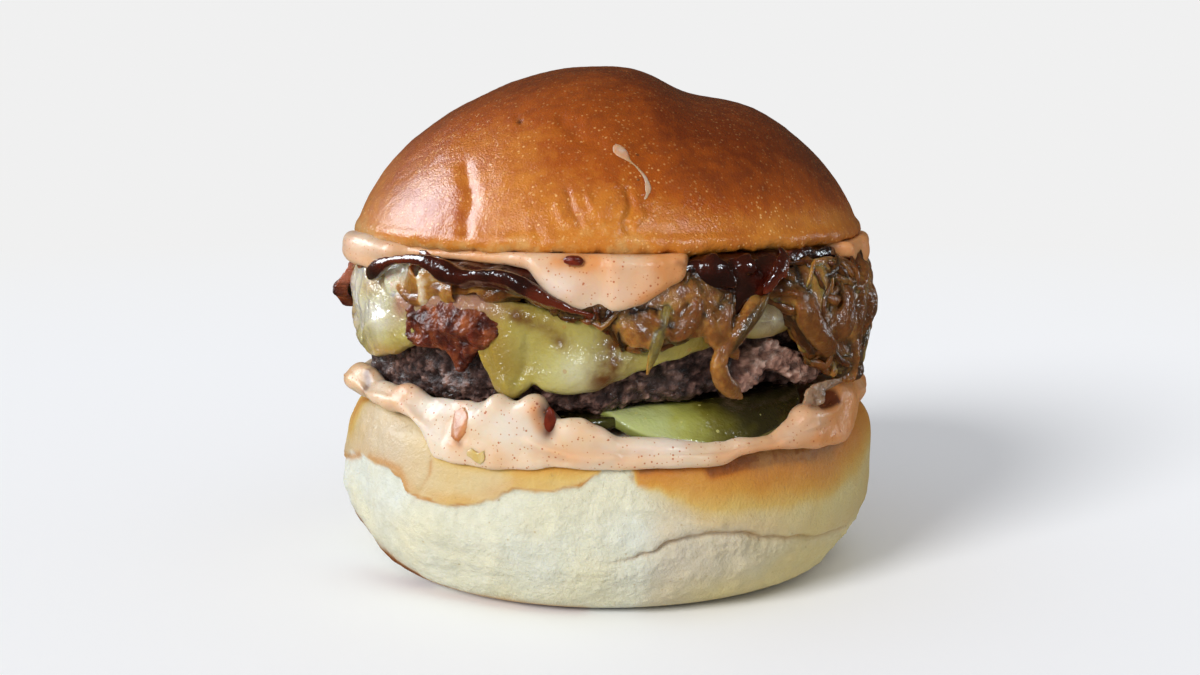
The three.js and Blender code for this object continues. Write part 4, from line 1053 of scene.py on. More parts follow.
def cheese_surface(context):
    b = bearings(LAYER_SIDES)
    hem = around(CHEESE_HEM, b)
    inner = cheese_inner(b) - 0.3
    outer = cheese_outer(b) + 0.2
    climb = around(CHEESE_CLIMB, b)
    points = [(0, PATTY_TOP + 0.2), (41, PATTY_TOP + 0.2), (inner - 1.8, 51.6),
        (inner - 0.1, np.maximum(hem + 0.9, 50.2))]
    points += [(inner, hem + 0.2), (inner + 0.8, hem - 0.5), (outer + 0.2, hem - 0.2),
        (outer + 0.5, hem + 1.4)]
    points += [(outer, np.minimum(hem + 3.4, 52.4)), (outer + 0.1 * climb, 52.8 + 0.5 * climb),
        (outer, 53.2 + climb), (outer - 2.0, 54.5 + climb), (42.5, CHEESE_TOP), (0, CHEESE_TOP)]
    grid, bb, r, z, low, high = face_of(points, b, 110, side_weight(43))
    side = step(r, 46.5, 49.4)
    amount = (0.6 * lumps(grid, 9, 2, 61) + 0.25 * lumps(grid, 3.6, 2, 62)
        + 0.12 * np.abs(lumps(grid, 1.6, 2, 63)))
    amount = folded(swollen(amount, bb, z, CHEESE_SWELLS), bb, z, 51, CHEESE_FOLDS)
    grid = pushed(grid, side * amount)
    grid = softened(grid, 1)
    turn, film = wrap(bb), 0.8 + 0.6 * lumps(grid, 4, 2, 66)
    # The milk mark is partly a milky film and partly a painted highlight: the whitish sheen on the wet left
    # lobe and the highlight along the roll at 33°.
    milk = (1.25 * bump(bb, -68, 13) * hill(z - 54.5, 8) * film
        + 0.5 * bump(bb, -45, 6) * hill(z - 57, 2.4) * film + 0.5 * bump(bb, -53, 6) * hill(z - 52, 3) * film
        + 0.3 * bump(bb, -6, 4) * hill(z - 45, 3) + 0.5 * bump(bb, 33, 5) * hill(z - 52.6, 1.6))
    # The pale mark is lighter cheese; on the left lobe and on the roll at 33° it partly stands for a highlight.
    pale = (0.85 * bump(bb, -4, 9) * hill(z - 46, 4) + 0.5 * bump(bb, -60, 14) * hill(z - 52, 6)
            + 0.4 * bump(bb, 33, 6) * hill(z - 52, 2) + 0.1 + 0.25 * lumps(grid, 7, 2, 64))
    ochre = (0.9 * bump(bb, -52, 7) * hill(z - 45.2, 1.5)
        + 0.95 * near(bb, z, 51, [(-60, 57.0), (-52, 59.0), (-44, 60), (-36, 59)], 2.2)
        + 0.5 * bump(bb, -24, 4) * hill(z - 50, 6) + 0.5 * bump(bb, 88, 14) * hill(z - 44, 6))
    deep = (0.6 * bump(bb, -21, 5) * hill(z - 46.5, 6)
        + 0.75 * step(turn, 9, 20) * step(-turn, -66, -50) * (0.7 + 0.5 * lumps(grid, 3, 2, 67)))
    brown = (1.0 * near(bb, z, 51, [(3.4, 53), (2, 50), (0.4, 46.8), (-0.8, 43.6)], 3.3)
        + 0.8 * near(bb, z, 51, [(-18, 54), (-13, 52.4), (-9, 50)], 1.3)
        + 0.3 * step(z, 52.5, 54.4) * (1 - bump(bb, -60, 26)) + 0.6 * bump(bb, 50, 9) * step(z, 44, 48)
        + 0.45 * step(lumps(grid, 6, 3, 65), 0.1, 0.5) * step(turn, 10, 30))
    pink = (0.8 * bump(bb, -36, 8) * step(z, 52.5, 55) + 0.5 * bump(bb, -24, 5) * step(z, 52, 55)
        + 0.4 * step(-turn, 70, 82)
        + 0.95 * near(bb, z, 51, [(-46, 54), (-42, 56), (-36, 57), (-27, 56)], 2.0) * film)
    marks = {"pale": pale, "brown": brown, "pink": pink, "ochre": ochre, "milk": milk, "deep": deep}
    return turned_piece("cheese_melt", grid, low, high, {key: np.clip(v, 0, 1) for key, v in marks.items()})


# Swells in the face of the cheese: bearing, height, half width, half height, size in millimetres
CHEESE_SWELLS = [
    (-4, 46.0, 6.5, 4.0, 1.5), (-20, 45.0, 3.4, 6, 0.8), (-14, 47.5, 2.6, 4, -0.6), (-55, 50.0, 9, 5, 1.7),
    (-66, 55, 7, 3, 0.7), (32, 52.8, 5, 2.5, 2.2), (15, 49.5, 5, 2.0, 0.5), (88, 43.6, 9, 3.6, 1.9),
    (-104, 45, 8, 4, 1.0), (145, 45, 8, 4, 1.2), (-160, 47, 7, 3, 0.8), (110, 52, 10, 2, 0.5),
    (-30, 52, 4, 3, 0.8),
]
# Folds: stops of (bearing, height), half width and size in millimetres
CHEESE_FOLDS = [
    ([(-81, 48), (-75, 54), (-71, 58)], 0.7, -1.2), ([(-75, 47), (-69, 52), (-66, 57)], 0.6, -1.1),
    ([(-68, 46.5), (-63, 50), (-61, 56)], 0.6, -0.9), ([(-62, 47), (-56, 50.4), (-50, 52)], 0.6, 0.6),
    ([(-47, 56), (-43, 53), (-38, 51)], 0.9, 0.7), ([(-24, 52), (-22.5, 47), (-20, 42)], 0.7, 0.5),
    ([(-16, 51), (-16.5, 46), (-18, 42)], 0.6, -0.5), ([(12, 49), (18, 51), (24, 52.6)], 0.8, 0.6),
]


def through(p0, p1, p2, p3, t):
    """Smooth curve from p1 to p2 at shares t, led by the stops before and after them."""
    return 0.5 * (2 * p1 + (p2 - p0) * t + (2 * p0 - 5 * p1 + 4 * p2 - p3) * t ** 2
                  + (3 * p1 - p0 - 3 * p2 + p3) * t ** 3)


def smooth_path(stops, share):
    """Points of a smooth open curve through stops at shares from 0 to 1."""
    stops = np.array(stops, float)
    stops = np.vstack([2 * stops[0] - stops[1], stops, 2 * stops[-1] - stops[-2]])
    x = np.clip(share, 0, 1) * (len(stops) - 3)
    k = np.minimum(x.astype(int), len(stops) - 4)
    t = (x - k)[..., None]
    return through(*(stops[k + n] for n in range(4)), t)


# Outlines of the two bacon rashers, (bearing, height)
BACON_PATCH = [
    (-46, 49.6), (-44.5, 47.2), (-40, 47.0), (-37, 47.4), (-34.4, 46.4), (-31.8, 44.0), (-29.2, 44.4),
    (-27, 46.8), (-23.6, 48.6), (-21.8, 51), (-22.4, 54), (-26, 57.4), (-31, 58.8), (-37, 58.6), (-42, 57),
    (-45.6, 53.6),
]
LEFT_RASHER = [(-93, 52), (-88, 50.4), (-83, 50.6), (-79.5, 52.6), (-78, 55.6), (-79.5, 58.4), (-84, 59.6),
    (-89, 59), (-92.6, 56)]


def front_rasher_radius(held, z):
    """Radius of the front rasher, which leans back above and below the cheese that holds it."""
    return np.maximum(held, 50.7) - 0.26 * np.maximum(0, z - 52.4) ** 1.2 - 0.08 * np.maximum(0, 49 - z)


def left_rasher_radius(b, z):
    """Radius of the left rasher, which bulges in its middle and leans back at its top."""
    return cheese_outer(b) + 0.4 + 2.2 * hill(z - 54, 2.4) - 0.3 * np.maximum(0, z - 57)


# Lower edge of the mass of onions and how far the cheese climbs in front of it, (bearing, height)
ONION_HEM = [
    (-180, 54.6), (-165, 54), (-150, 50), (-135, 53.6), (-118, 49), (-104, 54.6), (-85, 57), (-70, 60),
    (-58, 61), (-52, 59.4), (-47, 57.1), (-42, 55.8), (-34, 56.2), (-25, 57.8), (-17, 57.0), (-9, 54.6),
    (-3, 54.0), (0, 52.6), (3, 49.2), (6, 49.0), (9, 48.9), (12, 50.0), (16, 52.2), (18, 53.3), (20, 50.6),
    (23, 51.8), (25, 55.0), (30, 55.8), (36, 55.2), (38, 52.6), (41, 48.2), (44, 44.6), (50, 42.4),
    (56, 40.6), (62, 40.2), (68, 43.0), (74, 46.6), (84, 49.6), (96, 54.6), (110, 49.6), (124, 53.6),
    (142, 48.8), (160, 54.2),
]
CHEESE_CLIMB = [
    (-180, 0), (-100, 0.2), (-85, 3.0), (-72, 7.0), (-62, 8.0), (-52, 7.6), (-44, 7.0), (-38, 5.6),
    (-32, 3.8), (-25, 2.8), (-17, 1.8), (-8, 0.6), (0, 0), (25, 0), (32, 1.4), (38, 0.6), (46, 0),
]


def bundles(b, z, points, seed):
    """Heights of fused slices lying across each other, and a tone for each."""
    u = wrap(b) * math.radians(50) + 0 * z
    v = z + 0 * b
    best, tone = np.full(points.shape[:2], -9.0), np.zeros(points.shape[:2])
    for k, (angle, size) in enumerate(((15, 2.6), (68, 2.2), (-38, 2.4), (105, 2.8), (-8, 2.0))):
        t = math.radians(angle)
        warp = 3.0 * lumps(points, 9, 2, seed + 7 * k)
        across = (-u * math.sin(t) + v * math.cos(t) + warp) / size
        lane = np.floor(across)
        x = 2 * (across - lane) - 1
        body = np.sqrt(np.maximum(0, 1 - x * x))
        height = 0.6 * body + 2.0 * lumps(points, 6, 2, seed + 50 + 7 * k)
        cell = scrambled(lane.astype(np.int64), np.full(lane.shape, k), np.zeros(lane.shape, np.int64), seed)
        height = height + 0.5 * cell
        taken = height > best
        best = np.where(taken, height, best)
        tone = np.where(taken, cell, tone)
    return best, tone


def onion_core_surface():
    """Closed ring that fills the heap of onions behind its strands."""
    b = bearings(LAYER_SIDES)
    hem = around(ONION_HEM, b)
    draped = step(-hem, -55.4, -53.4)
    mass = bump(b, 52, 17)
    inner = 46.5 + (cheese_outer(b) + 0.1 - 46.5) * draped
    outer = 49.8 + (cheese_outer(b) + 1.4 - 49.8) * draped + 0.8 * mass - 0.9 * bump(b, 90, 16)
    points = [(38.5, 55.3), (42, 54.9), (inner - 1.5, 55.0), (inner, hem + 0.8), (inner + 0.8, hem),
        (outer - 0.2, hem + 1.4)]
    points += [(outer + 0.3, 0.5 * (hem + 57.5)), (outer + 0.2, 58.4), (outer - 1.6, 60.8),
        (42, ONION_TOP - 0.2), (38.5, ONION_TOP - 0.6)]
    grid, bb, r, z, low, high = face_of(points, b, 120, side_weight(43))
    side = step(r, 45, 48)
    slices, tone = bundles(bb, z, grid, 301)
    grid = pushed(grid, side * swollen(0.5 * slices - 0.3, bb, z, ONION_SWELLS))
    # The tone follows the relief: higher slices and swells are lighter and the gaps and dents darker, which is
    # painted shade; the lower part of the heap round 60° is darker still, a painted shadow.
    tone = 0.12 + 0.42 * tone + 0.16 * slices + 0.12 * lumps(grid, 9, 2, 83)
    tone = tone + 0.5 * bump(bb, -48, 12) - 0.14 * bump(bb, 60, 12) * step(-z, -50, -44)
    for at, height, wide, tall, size in ONION_SWELLS:
        tone = tone + 0.10 * size * bump(bb, at, wide) * hill(z - height, tall)
    return turned_piece("onion_core", grid, low, high,
        {"tone": np.clip(tone, 0.05, np.where(wrap(bb) < -20, 0.95, 0.68))}, True)


# Swells in the face of the onions: bearing, height, half width, half height, size in millimetres
ONION_SWELLS = [
    (46, 60, 5.5, 2.4, 1.5), (54, 50, 4.5, 4.5, 1.8), (61, 56, 4.5, 3, 1.2), (43, 53.4, 3, 3.4, 0.9),
    (50, 55, 3.5, 1.6, -1.6), (48, 47.5, 2.4, 3, -1.3), (58, 44, 5, 2.4, 0.9), (64, 42, 3, 1.6, -0.7),
    (8, 53.6, 5, 2.4, 0.9), (14, 57.6, 4, 2, 0.8), (-38, 59, 3, 2, 1.0), (-46, 60, 2.4, 2, 1.0),
    (70, 53, 4, 4, 1.2), (66, 49, 2.4, 3, -1.2), (-4, 56.2, 5, 1.4, 0.6), (120, 56, 8, 3, 1.0),
    (-120, 54, 8, 3, 1.0), (152, 56, 7, 3, 1.0), (-160, 57, 9, 3, 1.0),
]


def strand_group():
    """Geometry node tree that gives every curve a flattened, slightly cupped body facing outwards."""
    group, given, made = new_group("OnionStrands", "Geometry",
        {"Geometry": "Geometry", "Width": 0.0013, "Thickness": 0.0006, "Cup": 0.3, "Lumps": 0.0003,
            "Sides": 12, "Material": "Material"}, {"Geometry": "Geometry"})
    group.is_modifier = True

    def place_of(axis):
        held = put(group, "GeometryNodeInputPosition").outputs[0]
        return put(group, "ShaderNodeSeparateXYZ", {0: held}).outputs[axis]

    ring = put(group, "GeometryNodeCurvePrimitiveCircle", {"Radius": 1.0, "Resolution": given["Sides"]})
    side = place_of("Y")
    bend = put(group, "ShaderNodeCombineXYZ", {"X": times(group, side, side, -1.0, given["Cup"])})
    cupped = put(group, "GeometryNodeSetPosition",
        {"Geometry": ring.outputs["Curve"], "Offset": bend.outputs[0]})
    size = put(group, "ShaderNodeCombineXYZ", {"X": given["Thickness"], "Y": given["Width"], "Z": 1.0})
    oval = put(group, "GeometryNodeTransform",
        {"Geometry": cupped.outputs["Geometry"], "Scale": size.outputs["Vector"]})
    # the flat side faces away from the burger's axis
    away = put(group, "ShaderNodeCombineXYZ",
        {"X": sums(group, "SUBTRACT", place_of("X"), AXIS_X * MM), "Y": place_of("Y")})
    facing = put(group, "GeometryNodeSetCurveNormal", {"Curve": given["Geometry"], "Normal": away.outputs[0]},
        mode="FREE")
    radius = put(group, "GeometryNodeInputNamedAttribute", {"Name": "radius"}, data_type="FLOAT")
    tube = put(group, "GeometryNodeCurveToMesh", {
        "Curve": facing.outputs["Curve"], "Profile Curve": oval.outputs["Geometry"],
        "Scale": radius.outputs["Attribute"], "Fill Caps": True})
    noise = put(group, "ShaderNodeTexNoise", {"Scale": 420.0, "Detail": 2.0})
    push = times(group, sums(group, "SUBTRACT", noise.outputs["Fac"], 0.5), given["Lumps"])
    along = put(group, "ShaderNodeVectorMath", {
        0: put(group, "GeometryNodeInputNormal").outputs[0], "Scale": push}, operation="SCALE")
    lumpy = put(group, "GeometryNodeSetPosition",
        {"Geometry": tube.outputs["Mesh"], "Offset": along.outputs[0]})
    shade = put(group, "GeometryNodeSetShadeSmooth", {"Geometry": lumpy.outputs["Geometry"]})
    real = put(group, "GeometryNodeRealizeInstances", {"Geometry": shade.outputs["Geometry"]})
    dress = put(group, "GeometryNodeSetMaterial", {
        "Geometry": real.outputs["Geometry"], "Material": given["Material"]})
    link(group, dress.outputs["Geometry"], made["Geometry"])


def set_input(modifier, label, value):
    for item in modifier.node_group.interface.items_tree:
        if item.item_type == "SOCKET" and item.in_out == "INPUT" and item.name == label:
            modifier[item.identifier] = value
            return
    raise RuntimeError("no input named " + label)


def plain_mesh(piece, name):
    """The evaluated result of a piece's modifiers as a new plain object; the piece is removed."""
    held = piece.evaluated_get(bpy.context.evaluated_depsgraph_get())
    mesh = bpy.data.meshes.new_from_object(held, preserve_all_data_layers=True,
                                           depsgraph=bpy.context.evaluated_depsgraph_get())
    mesh.name = name
    data = piece.data
    bpy.data.objects.remove(piece)
    if isinstance(data, bpy.types.Curve):
        bpy.data.curves.remove(data)
    made = bpy.data.objects.new(name, mesh)
    bpy.context.scene.collection.objects.link(made)
    return made


def strands_of(table, steps=24):
    for stops, *rest in table:
        line = smooth_path(stops, np.linspace(0, 1, steps))
        yield (placed(*line[:, :3].T), *rest)


# Fried strands: seed of the draws, how many lie in the heap and hang over the back, points along each
STRAND_SEED = 7
HEAP_STRANDS = 300
BACK_STRANDS = 24
STRAND_POINTS = 18


def onion_paths():
    """Strands as (points in millimetres, half width, tilt, tone)."""
    draw = np.random.default_rng(STRAND_SEED)
    paths = []
    t = np.linspace(0, 1, STRAND_POINTS)
    for k in range(HEAP_STRANDS):
        start = draw.uniform(-12, 78) if k % 3 else draw.uniform(-180, 180)
        hem = float(around(ONION_HEM, start)) + 1.2
        z0 = draw.uniform(min(hem, 60.0), 61.4)
        heading = (draw.uniform(0, 2 * math.pi) if hem < 54
            else draw.choice((0, math.pi)) + draw.normal(0, 0.45))
        length = draw.uniform(9, 24)
        curl = draw.normal(0, 1.5)
        angle = heading + curl * (t - 0.5) + 0.35 * np.sin(7 * t + k)
        step_size = length / (len(t) - 1)
        u = np.cumsum(np.cos(angle)) * step_size
        v = np.cumsum(np.sin(angle)) * step_size
        u, v = u - u.mean(), v - v.mean()
        b = start + np.degrees(u / 50.5)
        z = z0 + v
        floor = around(ONION_HEM, b) + 0.4
        z = np.clip(z, floor - 0.8, 62.0)
        draped = step(-around(ONION_HEM, b), -55.4, -53.4)
        radius = 50.0 + (cheese_outer(b) + 1.9 - 50.0) * draped + 0.9 * bump(b, 52, 17)
        radius = radius - 0.09 * np.maximum(0, z - 58) ** 2 + 0.5 * np.sin(5 * t + k)
        radius = (radius + draw.uniform(-0.5, 0.5) * np.sin(np.pi * t)
            - 1.6 * float(bump(start, 27, 9)) * step(z, 57, 59)
            - 1.9 * (1 - np.sin(np.pi * np.clip(t, 0.03, 0.97))) ** 2)
        radius = radius - 3.4 * bump(b, 2, 13) * step(z, 55.6, 57.4) - 1.3 * bump(b, 90, 16)
        wide = draw.uniform(0.6, 1.2) if k % 2 else draw.uniform(0.3, 0.7)
        tone = np.clip(draw.normal(0.42, 0.17) + 0.2 * float(bump(start, -42, 9)), 0.05, 0.74)
        paths.append((placed(b, radius, z), wide, draw.normal(0, 0.45), tone))
    paths += strands_of(HANGING_STRANDS)
    for start in draw.uniform(80, 262, BACK_STRANDS):
        stop = start + draw.uniform(-9, 9)
        low = draw.uniform(44.5, 52.5)
        ride = float(cheese_outer(stop)) + 1.2
        stops = [(start, 47.5, 60), (start + 0.2 * (stop - start), 50.6, 57.6),
            (start + 0.5 * (stop - start), ride + 0.7, 54.0),
            (start + 0.8 * (stop - start), ride + 0.2, (54 + low) / 2), (stop, ride - 0.5, low)]
        strand = (stops, draw.uniform(0.8, 1.3), draw.uniform(-0.4, 0.4), draw.uniform(0.3, 0.7))
        paths += strands_of([strand], 20)
    return paths


# Strands that hang over the cheese: stops of (bearing, radius, height), half width, tilt and tone
HANGING_STRANDS = [
    ([(31, 50.5, 58.6), (28, 52.6, 55.6), (25, 53.4, 52.4), (22, 53.6, 49.4), (20.2, 53.8, 46.4),
     (21, 53.8, 43.4), (24, 53.2, 41.0), (26.5, 52.0, 39.6)], 1.25, 0.2, 0.68),
    ([(11, 51.0, 57.6), (10.2, 53.2, 55.2), (9.2, 54.0, 52.6), (8.2, 54.0, 49), (7.0, 53.2, 44.8)],
     0.75, 0.1, 0.76),
    ([(33, 51.4, 58.6), (30, 53.2, 56), (27, 53.8, 53.2), (24.4, 54.0, 50.6), (22.6, 54.0, 48.2)],
     0.8, -0.3, 0.52),
    ([(4, 50.5, 56.5), (4.6, 52.6, 54), (6.0, 53.4, 51.4), (7.4, 53.4, 49.4)], 1.3, -0.3, 0.6),
    ([(15, 50.6, 57), (15, 52.8, 54.4), (13.4, 53.2, 52.0), (11, 53.0, 50.6)], 1.3, 0.4, 0.5),
    ([(1, 50.5, 55), (2.4, 52.8, 53), (4.2, 53.3, 51), (6.0, 53.2, 49.4)], 1.1, 0.2, 0.7),
    ([(6, 51, 56.6), (7, 53.0, 54.4), (9, 53.6, 52.4), (12, 53.4, 51)], 1.1, 0.5, 0.55),
    ([(20, 50.5, 57), (18.6, 52.8, 54), (19.4, 53.2, 51), (21, 52.6, 48.8)], 1.1, -0.2, 0.6),
    ([(24, 51, 58), (22, 53.0, 55), (21.2, 53.4, 51.6), (23, 53.2, 48.6), (25, 52.6, 46.4)], 1.0, 0.3, 0.6),
    ([(44, 51, 58), (42, 53.6, 54.6), (43, 54.0, 50.6), (46, 53.8, 47.2), (50, 53.2, 45.2)], 1.7, 0.2, 0.45),
    ([(40, 50.8, 58.6), (39.5, 53.4, 55), (40.4, 53.6, 51.4), (42.6, 53.0, 48.0)], 1.4, -0.3, 0.52),
    ([(52, 51, 59), (54, 53.8, 55.6), (52, 54.2, 51.4), (49, 53.6, 48)], 1.7, 0.3, 0.4),
    ([(60, 50.6, 59), (60.6, 53.4, 55), (58, 54.0, 51), (56, 53.4, 47.4)], 1.6, -0.2, 0.42),
    ([(68, 50, 58.6), (67, 53, 55), (66.4, 53.4, 51.6), (64, 53.0, 48.4)], 1.5, 0.2, 0.46),
    ([(76, 50, 58), (74, 52.6, 54.6), (72.4, 53, 51.4), (72, 52.6, 48.6)], 1.4, 0.1, 0.46),
]
# Wide flat slices of pale onion on the left
PALE_SLICES = [
    ([(-50, 48.6, 63), (-49.6, 50.4, 61.4), (-48.6, 51.2, 59.2), (-47, 51.0, 56.8), (-46, 49.8, 54)],
     1.9, 0.1, 1.0),
    ([(-39.4, 48.6, 63), (-38.8, 50.8, 61.2), (-38.4, 51.4, 58.8), (-38.4, 50.9, 56.4), (-38, 49.6,
     54)], 1.4, -0.1, 0.92),
    ([(-44.4, 48.5, 62.4), (-44, 50.4, 60.6), (-43.4, 50.9, 58.4), (-43, 50.4, 55)], 2.3, 0.2, 0.74),
    ([(-33, 49, 61), (-32.6, 50.8, 59.4), (-33, 51.3, 57.8), (-34, 50.4, 55)], 1.7, 0.1, 0.68),
    ([(-56, 48.6, 61.6), (-55, 50.4, 60.2), (-54, 50.8, 58)], 1.5, 0.1, 0.85),
]

# Where the glaze soaks the onions: stops of (bearing, height), half width in millimetres and strength
GLAZED_ONIONS = [
    ([(17, 62.4), (24, 60.6), (30, 60.4), (35, 61.0)], 2.4, 0.95), ([(22, 60), (25, 58.4)], 1.8, 0.8),
    ([(34, 61), (31, 58.6)], 1.4, 0.7), ([(-20, 60), (-10, 57), (-2, 55), (4, 55.6)], 1.6, 0.8),
    ([(-34, 60.6), (-28, 59.6), (-20, 58.6)], 1.2, 0.6), ([(38, 63), (50, 62.6), (60, 62)], 1.2, 0.6),
    ([(-58, 62), (-46, 62.6), (-36, 62.4)], 1.0, 0.7),
]
# Where the glaze is thin and where it is smeared with sauce, in the same way
THIN_GLAZE = [
    ([(39.5, 64.6), (37.6, 62), (34.6, 59.4), (31, 56.8)], 1.3, 0.95),
    ([(-14, 57), (-9, 55.6), (-3, 54.4)], 1.0, 0.5), ([(-50, 63), (-42, 63.6)], 1.0, 0.35),
]
SMEARED_GLAZE = [
    ([(-62, 61.6), (-50, 63.4), (-40, 63.6)], 1.5, 0.9), ([(-14, 58.4), (-9, 56.4), (-3, 54.6)], 1.0, 0.6),
    ([(37, 62.6), (33, 59.6), (30, 57.6)], 0.6, 0.8),
]
# Ropes and flat ribbons of glaze: stops of (bearing, radius, height, half width)
GLAZE_ROPES = [
    [(-62, 50.4, 60.0, 0.8), (-57, 51.6, 59.6, 1.2), (-53, 52.7, 59.8, 1.6), (-49.5, 53.2, 61.2, 1.5),
     (-45, 53.2, 62.5, 1.1), (-40, 53.1, 63.0, 1.0), (-36, 53.0, 62.7, 1.4), (-32.5, 52.7, 61.4, 1.8),
     (-29.5, 52.3, 60.5, 1.6), (-26, 52.1, 60.8, 1.2), (-21, 52.2, 60.9, 1.4), (-17, 52.5, 60.0, 1.7),
     (-13.6, 52.6, 58.4, 1.3), (-10, 52.5, 56.8, 1.0), (-6, 52.3, 55.4, 0.8), (-2, 51.9, 54.6, 0.6)],
    [(128, 49.6, 63.6, 1.4), (131, 51.6, 60.6, 1.8), (134, 52.6, 57, 1.5), (135, 52.8, 53.6, 1.0)],
    [(-122, 49.6, 63.6, 1.4), (-120, 51.6, 60.6, 1.8), (-118, 52.4, 57.6, 1.3)],
]
GLAZE_RIBBONS = [
    [(37.4, 49.8, 65.0, 1.7), (36, 51.8, 63.4, 1.9), (33.8, 52.8, 61.2, 1.7), (31.4, 53.2, 59.2, 1.3),
     (29.4, 53.3, 57.4, 0.8)],
    [(19, 49.8, 64.4, 1.8), (20.4, 51.6, 62.6, 2.0), (22.4, 52.3, 60.8, 1.6), (24.4, 52.6, 58.8, 1.0)],
    [(27, 49.8, 64.4, 1.6), (27.6, 51.6, 62.8, 1.6), (28.4, 52.2, 61.2, 1.0)],
]


def traced(lines, radius, uneven, size, seed):
    """Rule for a mark along lines of (stops, half width, strength) on a cylinder, made uneven."""
    def rule(b, z, points):
        along = sum(strength * near(b, z, radius, stops, half) for stops, half, strength in lines)
        return along + uneven * lumps(points, size, 2, seed)
    return rule


def curves_of(name, paths):
    """Curve object with one spline for each (points, half widths, tilt)."""
    curve = bpy.data.curves.new(name, "CURVE")
    curve.dimensions = "3D"
    for points, wide, tilt in paths:
        spline = curve.splines.new("POLY")
        spline.points.add(len(points) - 1)
        flat = np.concatenate([points * MM, np.ones((len(points), 1))], 1)
        spline.points.foreach_set("co", flat.reshape(-1).astype(np.float32))
        spline.points.foreach_set("radius", np.broadcast_to(wide, len(points)).astype(np.float32))
        spline.points.foreach_set("tilt", np.broadcast_to(tilt, len(points)).astype(np.float32))
    holder = bpy.data.objects.new(name, curve)
    bpy.context.scene.collection.objects.link(holder)
    return holder


def bodied(name, paths, material, sides, **values):
    """Plain object from paths, run through the strand node tree."""
    holder = curves_of(name + "_paths", paths)
    modifier = holder.modifiers.new("strands", "NODES")
    modifier.node_group = bpy.data.node_groups["OnionStrands"]
    for label, value in {**values, "Sides": sides, "Material": material}.items():
        set_input(modifier, label, value)
    made = plain_mesh(holder, name)
    return facing_out(made)


def onion_strands(context, material, name, source, flatness=1.0):
    shape = context.scene.burger_shape
    paths = []
    for points, wide, tilt, tone in source:
        t = np.linspace(0, 1, len(points))
        taper = np.minimum(1, 0.3 + 4 * np.minimum(t, 1 - t)) * (1 + 0.12 * np.sin(9 * t + 20 * tone))
        paths.append((points, wide * taper, tilt + 0.5 * np.sin(4 * t + 9 * tone)))
    made = bodied(name, paths, material, shape.strand_sides, Width=shape.strand_width,
                  Thickness=shape.strand_thickness * flatness, Cup=0.3, Lumps=0.0005)
    # stripes run along each strand, as the fibres of an onion do
    stripe = np.sin(np.arange(shape.strand_sides) * 3 * 2 * np.pi / shape.strand_sides)
    tones = np.concatenate([np.tile(p[3] + 0.04 * stripe, len(p[0])) for p in source])
    if len(tones) != len(made.data.vertices):
        raise RuntimeError("the strands have an unexpected number of vertices")
    made.data.attributes.new("tone", "FLOAT", "POINT").data.foreach_set("value", tones.astype(np.float32))
    return made


def glaze_streams(material, name, streams, flatness):
    paths = []
    for stops in streams:
        line = smooth_path(stops, np.linspace(0, 1, 60))
        t = np.linspace(0, 1, 60)
        wide = (line[:, 3] * (1 + 0.10 * np.sin(17 * t) + 0.06 * np.sin(41 * t))
            * np.minimum(1, 0.25 + 8 * np.minimum(t, 1 - t)))
        paths.append((placed(line[:, 0], line[:, 1], line[:, 2]), wide, 0.0))
    made = bodied(name, paths, material, 20, Width=0.001, Thickness=0.001 * flatness, Cup=0.0, Lumps=0.0007)
    return made


def glaze_surface(context):
    b = bearings(LAYER_SIDES)
    hem = around(GLAZE_HEM, b)
    drawn = 2.2 * step(hem, 59.6, 61.6)
    bare = 1 - sauce_shown(b)
    inner, outer = 50.0 - drawn, 51.3 - drawn
    points = [(38.5, ONION_TOP + 0.3), (42, ONION_TOP + 0.1), (46.2, 61.2),
        (inner - 0.8, np.maximum(60.2, hem + 0.5)), (inner - 0.2, hem + 0.6), (inner + 0.3, hem - 0.4),
        (outer + 0.3, hem), (outer + 0.3, hem + 1.4), (outer - 0.1, np.maximum(61.0, hem + 2.4) + 0.8 * bare),
        (49.4 - 0.5 * drawn, 62.6 + 1.5 * bare), (44, 63.1 + 1.5 * bare), (38.5, 62.6)]
    grid, _, r, _, low, high = face_of(points, b, 90, side_weight(43))
    side = step(r, 45.5, 48.5)
    amount = (0.7 * lumps(grid, 5.0, 2, 91) + 0.5 * np.abs(lumps(grid, 2.8, 2, 92))
        + 0.2 * lumps(grid, 1.4, 2, 94))
    grid = pushed(grid, side * amount)
    grid = softened(grid, 1)
    return turned_piece("glaze_base", grid, low, high, None, True)


def sauce_shown(b):
    """1 where the upper sauce comes out to the edge, 0 where it stays hidden under the bun."""
    hidden = step(wrap(b), 14, 20) * step(-wrap(b), -61, -52)
    hidden = np.maximum(hidden, step(wrap(b), 112, 134) * step(-wrap(b), -166, -146))
    return 1 - hidden


